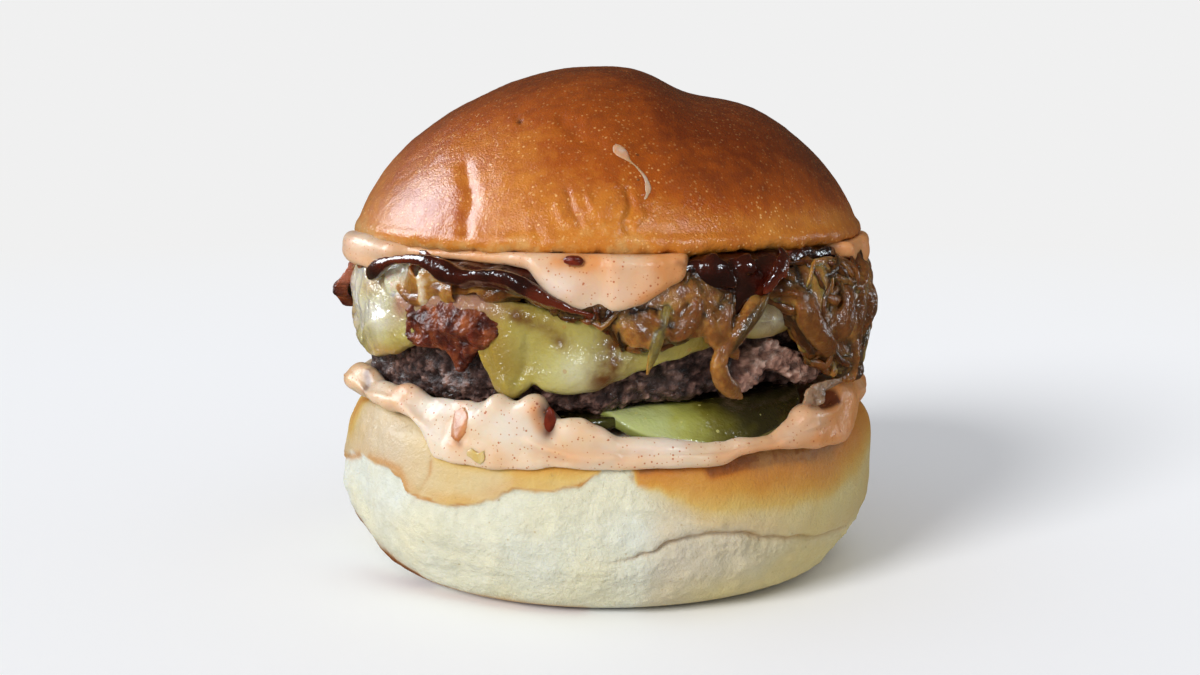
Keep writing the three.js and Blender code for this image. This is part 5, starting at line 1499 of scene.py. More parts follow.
def upper_sauce_surface(context):
    b = bearings(LAYER_SIDES)
    hem = around(UPPER_SAUCE_HEM, b)
    curl = bump(b, -66, 15) + 0.3 * bump(b, 72, 9)
    lobe = np.minimum(1, bump(b, 1, 15) + curl + bump(b, -130, 14) + bump(b, 110, 12))
    shown = sauce_shown(b)
    opened = np.clip((62.9 - hem) / 0.9, 0, 1)
    inner = 48.4 + (51.5 - 48.4) * opened * (1 - 0.6 * bump(b, 74, 20))
    outer = inner + 1.4 + 0.6 * np.log1p(np.exp((48.2 - inner + 3.8 * lobe + 0.9 * curl) / 0.6))
    back = 5.5 * (1 - shown) + 1.3 * step(b, 6, 14) * step(-wrap(b), -40, -20)
    points = [(0, 63.1), (42 - back, 63.1), (inner - 1.5 - back, 62.9),
        (inner - 0.1 - back, np.clip(hem + 0.9, 62.3, 63.0)), (inner - back, np.minimum(hem + 0.2, 62.8)),
        (inner + 0.6 - back, hem - 0.5 * opened), (outer - 0.1 - back, hem - 0.1 * opened),
        (outer + 0.3 - back, np.minimum(hem + 1.8, 63.2)),
        (outer + 0.2 - back, np.clip(hem + 3.6, 62.8, 64.0)), (outer - 0.2 - back, 64.5 + 1.3 * curl),
        (np.minimum(outer - 0.9, 50.9) - back, 64.9 + 1.6 * curl),
        (np.minimum(outer - 1.2, 50.2) - back, 64.7), (46 - back, 64.6), (0, 64.6)]
    grid, bb, r, z, low, high = face_of(points, b, 90, side_weight(42))
    side = step(r, 48.5, 50.5)
    amount = 0.5 * lumps(grid, 7, 2, 101) + 0.25 * lumps(grid, 3.2, 2, 102)
    amount = (amount + 0.8 * bump(bb, -7.5, 4.5) * hill(z - 59.6, 2.6)
        + 0.7 * bump(bb, 7, 4) * hill(z - 60.2, 2.0) + 0.5 * bump(bb, -66, 7) * hill(z - 62.6, 2.4)
        + 0.3 * bump(bb, 72, 7) * hill(z - 62, 2))
    grid = pushed(grid, side * folded(amount, bb, z, 53, UPPER_SAUCE_FOLDS))
    grid = softened(grid, 4)
    stain = (0.32 + 0.6 * bump(bb, 66, 22) + 0.75 * bump(bb, 14, 6)
        + 0.3 * bump(bb, -4, 7) * step(z, 61.0, 63) + 0.3 * lumps(grid, 6, 2, 103))
    stain = stain + 0.45 * bump(bb, -32, 14)
    # The cream mark is partly whiter sauce and partly a painted highlight, most of all the whitish patch at
    # -9°.
    cream = (0.5 * bump(bb, -66, 14) * step(z, 61, 64) + 0.9 * bump(bb, -9, 5) * hill(z - 60, 2.4)
        + 0.4 * bump(bb, 2, 7) * hill(z - 58.5, 2.4))
    stain = (stain + 0.3 * near(bb, z, 52.5, [(-10, 63.6), (-3, 63.8)], 1.0)
        + 0.4 * near(bb, z, 53, [(6, 57.4), (12, 60.2), (15, 62.4)], 0.8))
    # Darker just under the bun's rim: round the top red piece, for the dark hole that it sits in, and as the
    # rim's shadow at 13° to 17°; both are painted shade.
    dark = (0.3 * near(bb, z, 52.5, [(-8, 64.0), (-5, 64.1)], 0.9)
        + 0.4 * near(bb, z, 52.5, [(13, 63.4), (17, 63.0)], 0.6))
    marks = {"stain": np.clip(stain, 0, 0.85), "cream": np.clip(cream, 0, 1), "dark": np.clip(dark, 0, 0.9)}
    return turned_piece("upper_sauce_spread", grid, low, high, marks)


# Folds in the upper sauce: stops of (bearing, height), half width and size in millimetres
UPPER_SAUCE_FOLDS = [
    ([(-14, 62.6), (-9, 60.0), (-6, 58.4)], 0.9, 0.5), ([(2, 62), (8, 61.2), (13, 61.8)], 1.0, -0.3),
    ([(4, 57.4), (9, 59.0), (14, 61.4)], 0.7, 0.4), ([(-72, 64), (-62, 62.6), (-54, 62)], 0.8, -0.4),
    ([(98, 62), (110, 60.6), (122, 62)], 0.9, 0.5),
]


# Dome of the top bun: its radius, foot, rise and full height, and the power of its curve
CROWN_RADIUS = 49.6
CROWN_FOOT = 64
CROWN_RISE = 33.2
CROWN_TOP = 97.1
CROWN_POWER = 0.63


def crown_dents(x, y):
    """Depth by which the top bun falls short of an even dome."""
    shoulder = (3.0 * hill(x - 15.5, 7) + 0.9 * hill(x - 24, 7)) * hill(y + 4, 26)
    crease = 0.9 * hill(x - 4 + 0.3 * (y + 30), 4) * hill(y + 36, 9)
    dent = 0.5 * hill(x + 23, 4) * hill(y + 34, 9)
    return shoulder + crease + dent


def top_bun_surface(context):
    b = bearings(CROWN_SIDES)
    wave = 0.4 * waves(b, 5)
    rim = CROWN_RADIUS + wave
    points = [(0, CROWN_BASE), (43, CROWN_BASE), (rim - 1.8, CROWN_BASE - 0.1), (rim + 0.1, CROWN_BASE + 0.6),
        (rim + 0.1, CROWN_BASE + 2)]
    for share in np.concatenate([np.linspace(0.12, 0.9, 16), [0.935, 0.96, 0.98, 0.993]]):
        radius = CROWN_RADIUS * math.sqrt(max(0.0, 1 - share ** (1 / CROWN_POWER))) + wave * (1 - share)
        x, y = radius * np.sin(np.radians(b)), -radius * np.cos(np.radians(b))
        points.append((radius, CROWN_FOOT + CROWN_RISE * share - crown_dents(x, y)))
    points.append((0, CROWN_TOP - float(crown_dents(0, 0))))
    grid, _, r, z, low, high = face_of(points, b, 140, side_weight(46, 66), 2)
    x, y = grid[..., 0] - AXIS_X, grid[..., 1]
    top = step(z, 65.6, 68)
    front = step(-y, 8, 20)
    bent_x, bent_z = x + 0.8 * lumps(grid, 3, 2, 118), z + 0.8 * lumps(grid, 3, 2, 119)
    knot = hill(x, 7) * hill(z - 72, 5) * front
    folds = (knot * (0.3 * lumps(grid, 2.2, 2, 111) + 0.12 * lumps(grid, 0.9, 2, 120))
        + 0.8 * front * hill(x, 3.4) * hill(z - 71.6, 3.2))
    for stops, wide, size in CRUST_CREASES:
        folds = folds + 1.2 * size * front * hill(near_path(bent_x, bent_z, math.degrees(1), stops), wide)
    dough = 0.4 * lumps(grid, 22, 2, 112) + 0.13 * lumps(grid, 4.5, 3, 113) + 0.05 * lumps(grid, 1.3, 2, 116)
    at_rim = step(-z, -67.5, -65.2) * step(r, 44, 47)
    rim_rough = (0.5 * lumps(grid, 3.4, 3, 114) + 0.45 * lumps(grid, 1.4, 2, 121)) * at_rim
    grid = pushed(grid, top * (dough + folds) + 0.7 * rim_rough)
    grid[..., 2] -= at_rim * (0.3 + np.maximum(0, 0.3 + 0.7 * lumps(grid, 3.0, 3, 124)))
    height = (z - 65) / 32
    # The bake mark is the baked colour of the crust with painted light and shade laid in it: paler on the left
    # and at the front left, where the window light falls; darker low on the right, which lies in shade; a rim
    # paler on the left, partly a painted highlight; a darker patch at the front left under the window's
    # reflection, so that the reflection reads whiter; and slightly paler at the very top.
    bake = 0.10 + 0.82 * step(height, -0.12, 0.82)
    bake = (bake + 0.30 * step(x, -2, 26) * step(height, 0.04, 0.3) - 0.10 * step(-x, 0, 45)
        + 0.14 * lumps(grid, 15, 3, 115) + 0.06 * lumps(grid, 5, 3, 117))
    bake = (bake - 0.26 * hill(x + 12, 20) * hill(z - 85, 9) * front
        + 0.36 * hill(x + 32, 11) * hill(z - 71, 7) * front)
    bake = (bake - (0.06 + 0.14 * step(-x, 12, 34) + 0.16 * lumps(grid, 3, 3, 122))
        * step(-z, -68 - lumps(grid, 4, 3, 125), -65) * (1 - step(x, 0, 24))
        - 0.16 * hill(x + 10, 24) * hill(z - 73, 7) * (y < 0))
    bake = bake + 0.16 * step(x, 8, 28) * step(-z, -70, -66) - 0.10 * hill(x + 3, 16) * hill(z - 97, 3)
    bake = np.where(z < 65.0, 0.3, bake)
    # The pit mark is painted shade: a near-black dot in the small dent high at the front left, and patches
    # along the foot of the crust at the front, where it meets the fillings.
    pit = 0.9 * hill(np.hypot(x + 15.8, z - 86.6), 0.45) * front
    pit = pit + 0.6 * step(-z, -66.2, -65.2) * step(lumps(grid, 2.2, 3, 123), 0.2, 0.4) * front
    return turned_piece("top_bun_crust", grid, low, high,
        {"bake": np.clip(bake, 0, 1), "pit": np.clip(pit, 0, 1)})


# Creases in the front of the crust: stops of (x, height), half width and depth in millimetres
CRUST_CREASES = [
    ([(-7.4, 74.6), (-6, 72.2), (-4.4, 69.2)], 0.45, -0.5),
    ([(3.2, 75), (4.0, 72.6), (3.0, 70.2), (3.8, 68.4)], 0.5, -0.55),
    ([(-3.6, 70.6), (-1, 69.3), (1.8, 69.9)], 0.5, -0.25), ([(-3.4, 74.2), (-2.2, 72.2)], 0.5, 0.35),
    ([(5.0, 73.4), (5.8, 71.2), (4.8, 69.2)], 0.5, 0.3), ([(-8.6, 72.6), (-7.6, 70.4)], 0.5, 0.3),
    ([(-1.4, 75.2), (1.2, 75.6)], 0.45, 0.25), ([(-12, 68.6), (-10.6, 66.6)], 0.6, -0.3),
    ([(-8, 86.4), (-5, 84.4), (-1.5, 83)], 1.3, -0.35), ([(-25, 78), (-24, 73), (-24.6, 68)], 1.3, -0.5),
    ([(-16, 86.8), (-15.6, 86.4)], 0.5, -0.25),
]


# Middle line of the drip on the front of the top bun, (x, height)
DRIP_STOPS = [(1.4, 82.8), (2.6, 80.8), (4.8, 79.0), (6.4, 77.0), (6.8, 75.0), (6.2, 73.6)]


def crust_drip(material):
    """Pale drip that has run down the front of the top bun."""
    t = np.linspace(0, 1, 60)
    path = smooth_path(DRIP_STOPS, t)
    wide = 0.95 * hill(t - 0.14, 0.13) + 0.2 + 0.08 * np.sin(14 * t) + 0.4 * hill(t - 0.76, 0.1)
    wide = wide * np.minimum(1, np.minimum(t, 1 - t) / 0.04 + 0.15)
    crown = bpy.data.objects["top_bun_crust"]
    verts, rows, columns = [], len(t), 16
    for k in range(rows):
        for c in range(columns):
            u = 2 * math.pi * c / columns
            x = path[k, 0] + wide[k] * math.cos(u) + AXIS_X
            z = path[k, 1]
            hit, place, normal, _ = crown.ray_cast(Vector((x * MM, -0.09, z * MM)), Vector((0, 1, 0)))
            if not hit:
                raise RuntimeError("the drip misses the top bun")
            out = Vector(normal) * (0.0003 * math.sin(u) * min(1.0, float(wide[k])) + 0.00002)
            verts.append([*((place + out) / MM)])
    piece = facing_out(tube_piece("top_bun_drip", np.array(verts).reshape(rows, columns, 3)))
    piece.data.materials.append(material)
    return piece


def chunk_piece(name, at, radius, z, wide, high, deep, seed):
    t, u = np.meshgrid(np.linspace(0.06, np.pi - 0.06, 24), np.linspace(0, 2 * np.pi, 36, endpoint=False),
        indexing="ij")
    p = np.stack([np.sin(t) * np.cos(u), np.sin(t) * np.sin(u), -np.cos(t)], -1)
    p = p * (1 + 0.16 * lumps(p * 10, 9, 2, seed) + 0.05 * lumps(p * 10, 3, 2, seed + 1))[..., None]
    middle = placed(at, radius, z)
    out = middle - np.array([AXIS_X, AXIS_Y, z])
    out = out / np.linalg.norm(out)
    side = np.cross(out, [0, 0, 1])
    grid = (middle + p[..., :1] * wide * side + p[..., 1:2] * deep * out
        + p[..., 2:] * high * np.array([0, 0, 1]))
    return facing_out(tube_piece(name, grid))


def lying_on(piece, lift):
    """Radius of a finished piece's face at each bearing and height, raised by a lift."""
    def radius(b, z):
        b, z = np.broadcast_arrays(b, z)
        found = np.empty(b.shape)
        for place in np.ndindex(b.shape):
            t = math.radians(b[place])
            way = Vector((-math.sin(t), math.cos(t), 0))
            start = Vector((AXIS_X * MM, AXIS_Y * MM, z[place] * MM)) - way * 0.07
            hit, point, _, _ = piece.ray_cast(start, way)
            found[place] = 70 - (point - start).length / MM if hit else 50.0
        return found + lift
    return radius


def patch_piece(name, outline, radius, thick, seed, rough, sink=0.0):
    """Lumpy slab on a cylinder; its outline is (bearing, height) stops round its middle, and its rim
    can sink into what it lies on."""
    turns = 320
    stops = np.array(outline + outline[:3], float)
    x = np.linspace(0, len(outline), turns, endpoint=False)
    k = x.astype(int)
    t = (x - k)[:, None]
    edge = through(*(stops[(k + n) % len(outline)] for n in range(4)), t)
    middle = np.mean(outline, 0)
    turn = 2 * np.pi * x / len(outline)
    ragged = 1 + 0.16 * lumps(np.stack([4 * np.cos(turn), 4 * np.sin(turn), 0 * turn], -1), 1.3, 4, seed)
    rim = np.linspace(0, np.pi / 2, 7)[1:]
    out = np.concatenate([np.linspace(0.02, 0.94, 60), 0.94 + 0.06 * np.sin(rim)])
    lift = np.concatenate([np.ones(60), np.cos(rim)])
    out, lift = np.concatenate([out, out[::-1][1:]]), np.concatenate([lift, -lift[::-1][1:]])
    spread = out[:, None, None] * ((edge - middle) * ragged[:, None])[None]
    bearing, z = middle[0] + spread[..., 0], middle[1] + spread[..., 1]
    held = radius(bearing, z)
    if sink:
        held = softened(np.swapaxes(held, 0, 1)[..., None], 2)[..., 0].T
    grid = placed(bearing, held + lift[:, None] * thick / 2 - sink * (out[:, None] ** 5), z)
    front = step(lift, -0.2, 0.6)[:, None]
    relief = rough * (lumps(grid, 3.6, 3, seed) + 0.45 * np.abs(lumps(grid, 1.6, 3, seed + 3)))
    run = placed(bearing, 1.0, 0.0) - np.array([AXIS_X, AXIS_Y, 0])
    grid = grid + run * (front * relief)[..., None]
    streak = np.clip(0.3 + 1.1 * lumps(grid, 3, 3, seed + 5, (0.6, 0.6, 1.6)), 0, 1)
    film = (step(z + 2.6 * lumps(grid, 3, 3, seed + 7), 53.0, 58.0)
        * np.clip(0.9 + 0.4 * lumps(grid, 3, 2, seed + 6), 0, 1))
    streak = np.clip(streak + step(-z, -48.4, -46.6) * step(-bearing, 30, 38), 0, 1)
    return facing_out(tube_piece(name, grid, {"streak": streak, "film": film}))


# Outlines of the flat pieces in the lower sauce, (bearing, height)
BROWN_PIECE = [(-31.8, 37.2), (-29.6, 38.0), (-27.4, 37.0), (-27.0, 34.6), (-27.8, 32.4), (-29.6, 31.4),
    (-31.4, 32.8), (-32.2, 35)]
ONION_BIT = [(-26.9, 30.2), (-25.8, 31.3), (-24.4, 30.7), (-23.0, 31.0), (-22.8, 29.6), (-24.2, 28.7),
    (-25.6, 29.3)]
SAUCE_FLAP = [
    (40.2, 37.7), (41.6, 39.9), (46, 40.6), (50, 40.7), (54.4, 40.3), (54.4, 39.8), (50, 39.7), (46.4, 39.1),
    (46.4, 37.6), (45.6, 36.9), (42.6, 37.0),
]


def ready(piece, slot, *nodes, material=None):
    """Hangs a finished piece on the root body, hides the parts of the model that it stands in for, and gives it
    its material.
    """
    if material is not None:
        piece.data.materials.clear()
        piece.data.materials.append(material)
    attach(piece, "root")
    if nodes:
        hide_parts(*nodes)
    return piece


# ---- properties


class BurgerShape(bpy.types.PropertyGroup):
    """Sizes that a user would change"""
    strand_width: FloatProperty(name="Strand width", description="Half width of an onion strand",
        default=0.0013, unit="LENGTH")
    strand_thickness: FloatProperty(name="Strand thickness", description="Half thickness of an onion strand",
        default=0.0007, unit="LENGTH")
    strand_sides: IntProperty(name="Strand sides", description="Sides of an onion strand", default=10, min=6,
        max=24)
    melt_size: FloatProperty(name="Melt size", description="Face size of the melted heap, in millimetres",
        default=0.42)
    key_power: FloatProperty(name="Daylight", description="Strength of the main light", default=2.7)
    window_power: FloatProperty(name="Window light", description="Power of the light that shows on the crust",
        default=7.0, unit="POWER")
    fill_power: FloatProperty(name="Front window",
        description="Power of the light that gives the wet highlights", default=1.4, unit="POWER")


def colour_property(label, text, value):
    return FloatVectorProperty(name=label, description=text, default=value, size=3, min=0, max=1,
        subtype="COLOR")


class BurgerColours(bpy.types.PropertyGroup):
    """Colours that a user would change"""
    crust_pale: colour_property("Crust rim", "Palest crust, at the rim", (0.53, 0.28, 0.085))
    crust_gold: colour_property("Crust gold", "Golden crust", (0.50, 0.17, 0.018))
    crust_amber: colour_property("Crust amber", "Well baked crust", (0.32, 0.066, 0.003))
    crust_dark: colour_property("Crust dark", "Darkest crust, on top", (0.14, 0.022, 0.001))
    crumb: colour_property("Crumb", "Torn inside of the bun", (0.56, 0.575, 0.50))
    sauce: colour_property("Sauce", "Creamy sauce", (0.63, 0.51, 0.375))
    sauce_warm: colour_property("Warm sauce", "Sauce where it is more orange", (0.62, 0.43, 0.26))
    pickle: colour_property("Pickle", "Flesh of the pickle", (0.33, 0.34, 0.10))
    beef: colour_property("Beef", "Seared beef", (0.066, 0.034, 0.028))
    cheese: colour_property("Cheese", "Melted cheese", (0.37, 0.31, 0.07))
    bacon: colour_property("Bacon", "Lean part of the bacon", (0.08, 0.010, 0.005))
    onion: colour_property("Onion", "Fried onion", (0.085, 0.024, 0.003))
    glaze: colour_property("Glaze", "Barbecue glaze", (0.012, 0.0025, 0.0018))


def colours_of(context):
    held = context.scene.burger_colours
    return {key: tuple(getattr(held, key)) for key in BurgerColours.__annotations__}


# ---- operators


class HAMBURGER_OT_bottom_bun(bpy.types.Operator):
    """Make the bottom bun with its torn skin"""
    bl_idname = "hamburger.bottom_bun"
    bl_label = "Bottom bun"

    def execute(self, context):
        ready(bottom_bun_surface(context), "bun_crumb", "bottom_bun",
            material=crumb_material(colours_of(context)))
        return {"FINISHED"}


class HAMBURGER_OT_sauces(bpy.types.Operator):
    """Make the lower and upper sauce"""
    bl_idname = "hamburger.sauces"
    bl_label = "Sauces"

    def execute(self, context):
        material = sauce_material(colours_of(context))
        ready(lower_sauce_surface(context), "pink_sauce", "lower_sauce", material=material)
        ready(upper_sauce_surface(context), "pink_sauce", "upper_sauce", material=material)
        return {"FINISHED"}


class HAMBURGER_OT_pickles(bpy.types.Operator):
    """Make the two pickle slices"""
    bl_idname = "hamburger.pickles"
    bl_label = "Pickle slices"

    def execute(self, context):
        material = pickle_material(colours_of(context))
        front = slice_piece("pickle_slice_front", FRONT_SLICE)
        under = slice_piece("pickle_slice_under", UNDER_SLICE)
        ready(front, "pickle", "pickle_front", material=material)
        ready(under, "pickle", "pickle_under", material=material)
        return {"FINISHED"}


class HAMBURGER_OT_patty(bpy.types.Operator):
    """Make the beef patty"""
    bl_idname = "hamburger.patty"
    bl_label = "Beef patty"

    def execute(self, context):
        ready(patty_surface(context), "beef", "patty", material=beef_material(colours_of(context)))
        return {"FINISHED"}


class HAMBURGER_OT_cheese(bpy.types.Operator):
    """Make the melted cheese"""
    bl_idname = "hamburger.cheese"
    bl_label = "Cheese"

    def execute(self, context):
        ready(cheese_surface(context), "cheese", "cheese", material=cheese_material(colours_of(context)))
        return {"FINISHED"}


class HAMBURGER_OT_bacon(bpy.types.Operator):
    """Make the two bacon rashers"""
    bl_idname = "hamburger.bacon"
    bl_label = "Bacon"

    def execute(self, context):
        context.view_layer.update()
        material = bacon_material(colours_of(context))
        over = lying_on(bpy.data.objects["cheese_melt"], 0.1)
        front = patch_piece("bacon_rasher_front", BACON_PATCH,
            lambda b, z: front_rasher_radius(over(b, z), z), 1.3, 5, 1.4, 1.3)
        left = patch_piece("bacon_rasher_left", LEFT_RASHER, left_rasher_radius, 2.4, 4, 0.7)
        ready(front, "bacon", "bacon_front", material=material)
        ready(left, "bacon", "bacon_left", material=material)
        return {"FINISHED"}


class HAMBURGER_OT_onions(bpy.types.Operator):
    """Make the heap of fried onions"""
    bl_idname = "hamburger.onions"
    bl_label = "Fried onions"

    def execute(self, context):
        material = onion_material(colours_of(context))
        paths = onion_paths()
        thin = [p for p in paths if p[1] < 0.95 and p[3] < 0.9]
        melted = onion_strands(context, material, "melted_strands",
            [p for p in paths if p[1] >= 0.75 or p[3] >= 0.9])
        loose = onion_strands(context, material, "loose_strands", thin)
        pale = onion_strands(context, material, "pale_slices", list(strands_of(PALE_SLICES)), 0.32)
        heap = fused("onion_heap_fried", [onion_core_surface(), melted, pale],
            context.scene.burger_shape.melt_size, 2, ("tone",), [loose])
        marked_by_place(heap, "glazed", traced(GLAZED_ONIONS, 52, 0.25, 3, 84))
        ready(heap, "fried_onion", "onion_heap", material=material)
        return {"FINISHED"}


class HAMBURGER_OT_glaze(bpy.types.Operator):
    """Make the barbecue glaze"""
    bl_idname = "hamburger.glaze"
    bl_label = "Barbecue glaze"

    def execute(self, context):
        material = glaze_material(colours_of(context))
        ropes = glaze_streams(material, "glaze_ropes", GLAZE_ROPES, 0.85)
        ribbons = glaze_streams(material, "glaze_ribbons", GLAZE_RIBBONS, 0.42)
        flow = fused("glaze_flow", [glaze_surface(context), ropes, ribbons], 0.42, 3, ())
        marked_by_place(flow, "thin", traced(THIN_GLAZE, 52.5, 0.2, 4, 93))
        marked_by_place(flow, "smear", traced(SMEARED_GLAZE, 52.5, 0.3, 3, 95))
        ready(flow, "glaze", "barbecue_glaze", material=material)
        return {"FINISHED"}


class HAMBURGER_OT_top_bun(bpy.types.Operator):
    """Make the top bun and the drip on it"""
    bl_idname = "hamburger.top_bun"
    bl_label = "Top bun"

    def execute(self, context):
        ready(top_bun_surface(context), "bun_crust", "top_bun", material=crust_material(colours_of(context)))
        context.view_layer.update()
        drip = piece_material("pale_drip", (0.52, 0.34, 0.25), (0.50, 0.24, 0.11))
        ready(crust_drip(drip), "bun_crust")
        return {"FINISHED"}


class HAMBURGER_OT_small_pieces(bpy.types.Operator):
    """Make the small pieces in the sauces"""
    bl_idname = "hamburger.small_pieces"
    bl_label = "Small pieces"

    def execute(self, context):
        red = piece_material("red_piece", (0.17, 0.018, 0.005), (0.07, 0.008, 0.003))
        brown = piece_material("brown_piece", (0.50, 0.21, 0.075), (0.36, 0.12, 0.03))
        flap = piece_material("thin_flap", (0.34, 0.21, 0.12), (0.15, 0.075, 0.035))
        pink = piece_material("pink_piece", (0.50, 0.22, 0.12), (0.36, 0.08, 0.04))
        ready(chunk_piece("red_piece_front", -11, 51.9, 36.4, 1.1, 2.4, 0.8, 1), "red_piece", "red_piece",
            material=red)
        sauce = bpy.data.objects["lower_sauce_spread"]
        ready(patch_piece("brown_piece_left", BROWN_PIECE, lying_on(sauce, 0.0), 0.6, 2, 0.05, 0.7),
            "brown_piece", "brown_piece", material=brown)
        ready(patch_piece("sauce_flap", SAUCE_FLAP, lambda b, z: 53.4 - 0.14 * (z - 36), 0.5, 8, 0.2),
            "pink_sauce", material=flap)
        ready(chunk_piece("pink_piece_end", -68, 51.2, 38.3, 1.6, 2.0, 1.2, 3), "red_piece", "end_piece",
            material=pink)
        ready(chunk_piece("red_piece_top", -6.3, 52.6, 63.9, 1.7, 0.9, 0.9, 4), "red_piece", "top_piece",
            material=red)
        bit = piece_material("yellow_bit", (0.52, 0.36, 0.10), (0.56, 0.44, 0.22))
        ready(patch_piece("onion_bit_left", ONION_BIT, lying_on(sauce, 0.1), 0.8, 5, 0.12, 0.3),
            "fried_onion", material=bit)
        return {"FINISHED"}


# Camera: lens and sensor in millimetres, place in metres and tilt below level in degrees
LENS = 45
SENSOR = 36
NEAR_CLIP = 0.01
CAMERA_PLACE = ((AXIS_X - 1.4) * MM, -0.3, 0.0885)
CAMERA_DIP = 8.6
# Floor: radii of its rings in millimetres and the number of its sides
FLOOR_RINGS = (150, 600, 4000)
FLOOR_SIDES = 96
# Daylight: the way that it shines and its spread in degrees
DAYLIGHT_WAY = (0.593, 0.714, -0.455)
DAYLIGHT_SPREAD = 22
# Windows: place, width and height in metres, the property that holds the power, the share of it,
# and the height on the axis that they face
WINDOWS = (
    ("window", (-0.575, 0.075, 0.365), 0.44, 0.38, "window_power", 1.0, 0.07),
    ("front_window", (-0.48, -0.52, 0.40), 0.16, 0.22, "fill_power", 1.0, 0.05),
    ("right_window", (0.34, -0.55, 0.46), 0.10, 0.12, "fill_power", 1.1, 0.05),
    ("side_window", (0.62, 0.12, 0.13), 0.11, 0.09, "fill_power", 0.25, 0.05),
)
WINDOW_COLOUR = (0.84, 0.93, 1.0)
# Colour and strength of what the camera sees behind, of the light all round and of its reflection
BACKDROP = ((0.872, 0.872, 0.872), 1.0)
ROOM_LIGHT = ((0.97, 0.98, 1.0), 0.58)
ROOM_SHEEN = ((1.0, 0.75, 0.5), 0.07)


class HAMBURGER_OT_stage(bpy.types.Operator):
    """Make the floor, the lights and the camera"""
    bl_idname = "hamburger.stage"
    bl_label = "Stage"

    def execute(self, context):
        scene = context.scene
        shape = scene.burger_shape
        camera = bpy.data.objects.new("camera", bpy.data.cameras.new("camera"))
        camera.data.lens = LENS
        camera.data.sensor_width = SENSOR
        camera.data.clip_start = NEAR_CLIP
        camera.location = CAMERA_PLACE
        camera.rotation_euler = (math.radians(90 - CAMERA_DIP), 0, 0)
        scene.collection.objects.link(camera)
        scene.camera = camera

        t = np.linspace(0, 2 * np.pi, FLOOR_SIDES, endpoint=False)
        rings = [np.stack([r * np.cos(t), r * np.sin(t), 0 * t], -1) for r in FLOOR_RINGS]
        verts = np.vstack([[[0, 0, 0]], *rings])
        n = np.arange(FLOOR_SIDES)
        m = (n + 1) % FLOOR_SIDES
        middle = np.stack([0 * n, 1 + n, 1 + m], -1)
        quads = []
        for first in (1, 1 + FLOOR_SIDES):
            beyond = first + FLOOR_SIDES
            quads.append(np.stack([first + n, beyond + n, beyond + m, first + m], -1))
        floor = mesh_of("floor", verts, [middle, np.vstack(quads)])
        floor.data.materials.append(floor_material())
        floor.visible_glossy = False

        sun = bpy.data.lights.new("daylight", "SUN")
        sun.energy = shape.key_power
        sun.angle = math.radians(DAYLIGHT_SPREAD)
        held = bpy.data.objects.new("daylight", sun)
        held.rotation_euler = Vector(DAYLIGHT_WAY).to_track_quat("-Z", "Y").to_euler()
        held.visible_glossy = False
        scene.collection.objects.link(held)
        for name, place, wide, tall, power, share, aim in WINDOWS:
            light = bpy.data.lights.new(name, "AREA")
            light.shape = "RECTANGLE"
            light.size = wide
            light.size_y = tall
            light.energy = share * getattr(shape, power)
            light.color = WINDOW_COLOUR
            held = bpy.data.objects.new(name, light)
            held.location = place
            held.rotation_euler = (Vector((0, 0, aim)) - Vector(place)).to_track_quat("-Z", "Y").to_euler()
            held.visible_diffuse = False
            scene.collection.objects.link(held)

        world = bpy.data.worlds.new("studio")
        world.use_nodes = True
        tree = world.node_tree
        tree.nodes.clear()
        seen, felt, mirrored = [
            put(tree, "ShaderNodeBackground", {"Color": colour, "Strength": strength}).outputs[0]
            for colour, strength in (BACKDROP, ROOM_LIGHT, ROOM_SHEEN)]
        path = put(tree, "ShaderNodeLightPath").outputs
        glossy = put(tree, "ShaderNodeMixShader", {0: path["Is Glossy Ray"], 1: felt, 2: mirrored}).outputs[0]
        choice = put(tree, "ShaderNodeMixShader", {0: path["Is Camera Ray"], 1: glossy, 2: seen}).outputs[0]
        put(tree, "ShaderNodeOutputWorld", {"Surface": choice})
        scene.world = world
        scene.view_settings.view_transform = "Standard"
        return {"FINISHED"}


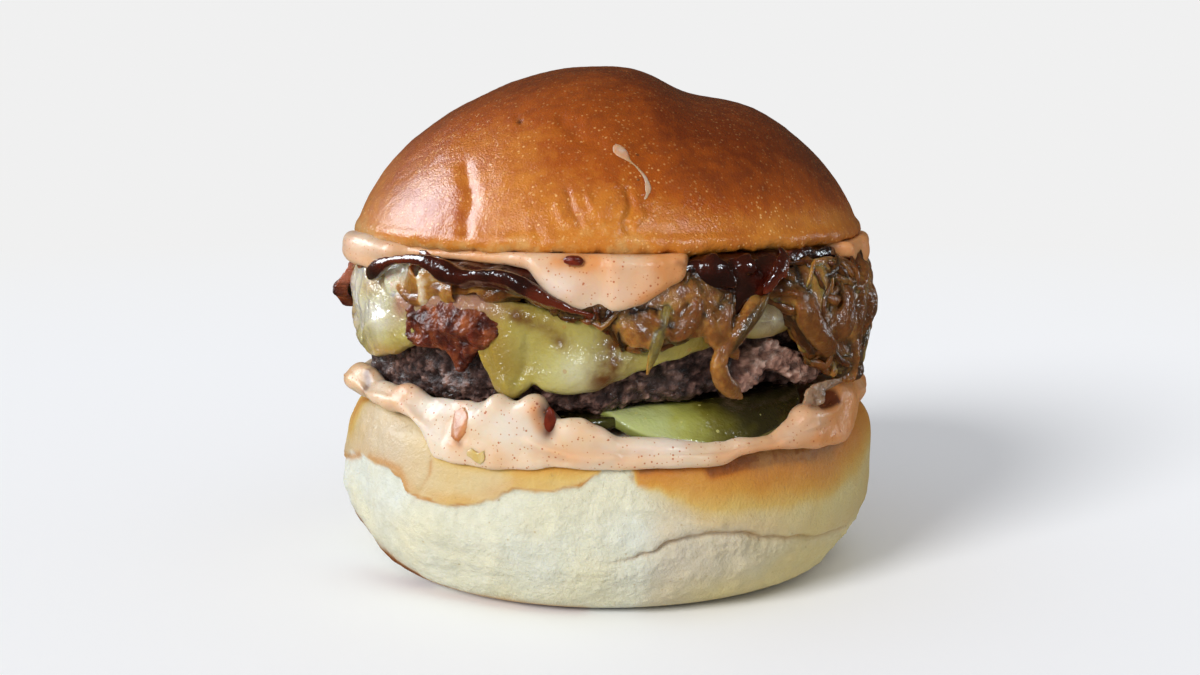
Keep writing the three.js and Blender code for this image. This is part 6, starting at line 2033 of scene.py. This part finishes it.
def floor_material():
    """Matt and pale near the burger, and the plain backdrop further out."""
    material = bpy.data.materials.new("pale_floor")
    material.use_nodes = True
    tree = material.node_tree
    tree.nodes.clear()
    length = put(tree, "ShaderNodeVectorMath", {0: where_in(tree)}, operation="LENGTH").outputs["Value"]
    matt = put(tree, "ShaderNodeBsdfDiffuse", {"Color": (0.93, 0.94, 0.96)}).outputs[0]
    glow = put(tree, "ShaderNodeEmission", {"Color": BACKDROP[0], "Strength": BACKDROP[1]}).outputs[0]
    choice = put(tree, "ShaderNodeMixShader",
        {0: ranged(tree, length, 0.28, 0.75), 1: matt, 2: glow}).outputs[0]
    put(tree, "ShaderNodeOutputMaterial", {"Surface": choice})
    return material


class HAMBURGER_PT_panel(bpy.types.Panel):
    """Lists the steps that make the hamburger"""
    bl_label = "Hamburger"
    bl_idname = "HAMBURGER_PT_panel"
    bl_space_type = "VIEW_3D"
    bl_region_type = "UI"
    bl_category = "Hamburger"

    def draw(self, context):
        column = self.layout.column(align=True)
        for operator in OPERATORS:
            column.operator(operator.bl_idname)
        for holder in (context.scene.burger_shape, context.scene.burger_colours):
            for key in type(holder).__annotations__:
                self.layout.prop(holder, key)


OPERATORS = (
    HAMBURGER_OT_stage, HAMBURGER_OT_bottom_bun, HAMBURGER_OT_sauces, HAMBURGER_OT_pickles,
    HAMBURGER_OT_patty, HAMBURGER_OT_cheese, HAMBURGER_OT_bacon, HAMBURGER_OT_onions, HAMBURGER_OT_glaze,
    HAMBURGER_OT_top_bun, HAMBURGER_OT_small_pieces,
)
CLASSES = (BurgerShape, BurgerColours, *OPERATORS, HAMBURGER_PT_panel)


def register():
    for item in CLASSES:
        bpy.utils.register_class(item)
    bpy.types.Scene.burger_shape = PointerProperty(type=BurgerShape)
    bpy.types.Scene.burger_colours = PointerProperty(type=BurgerColours)


def unregister():
    del bpy.types.Scene.burger_colours
    del bpy.types.Scene.burger_shape
    for item in reversed(CLASSES):
        bpy.utils.unregister_class(item)


def main():
    register()
    for build in (mottle_group, specks_group, relief_group, strand_group):
        build()
    for operator in OPERATORS:
        area, name = operator.bl_idname.split(".")
        getattr(getattr(bpy.ops, area), name)()
    bpy.context.view_layer.update()


if __name__ == "__main__":
    main()
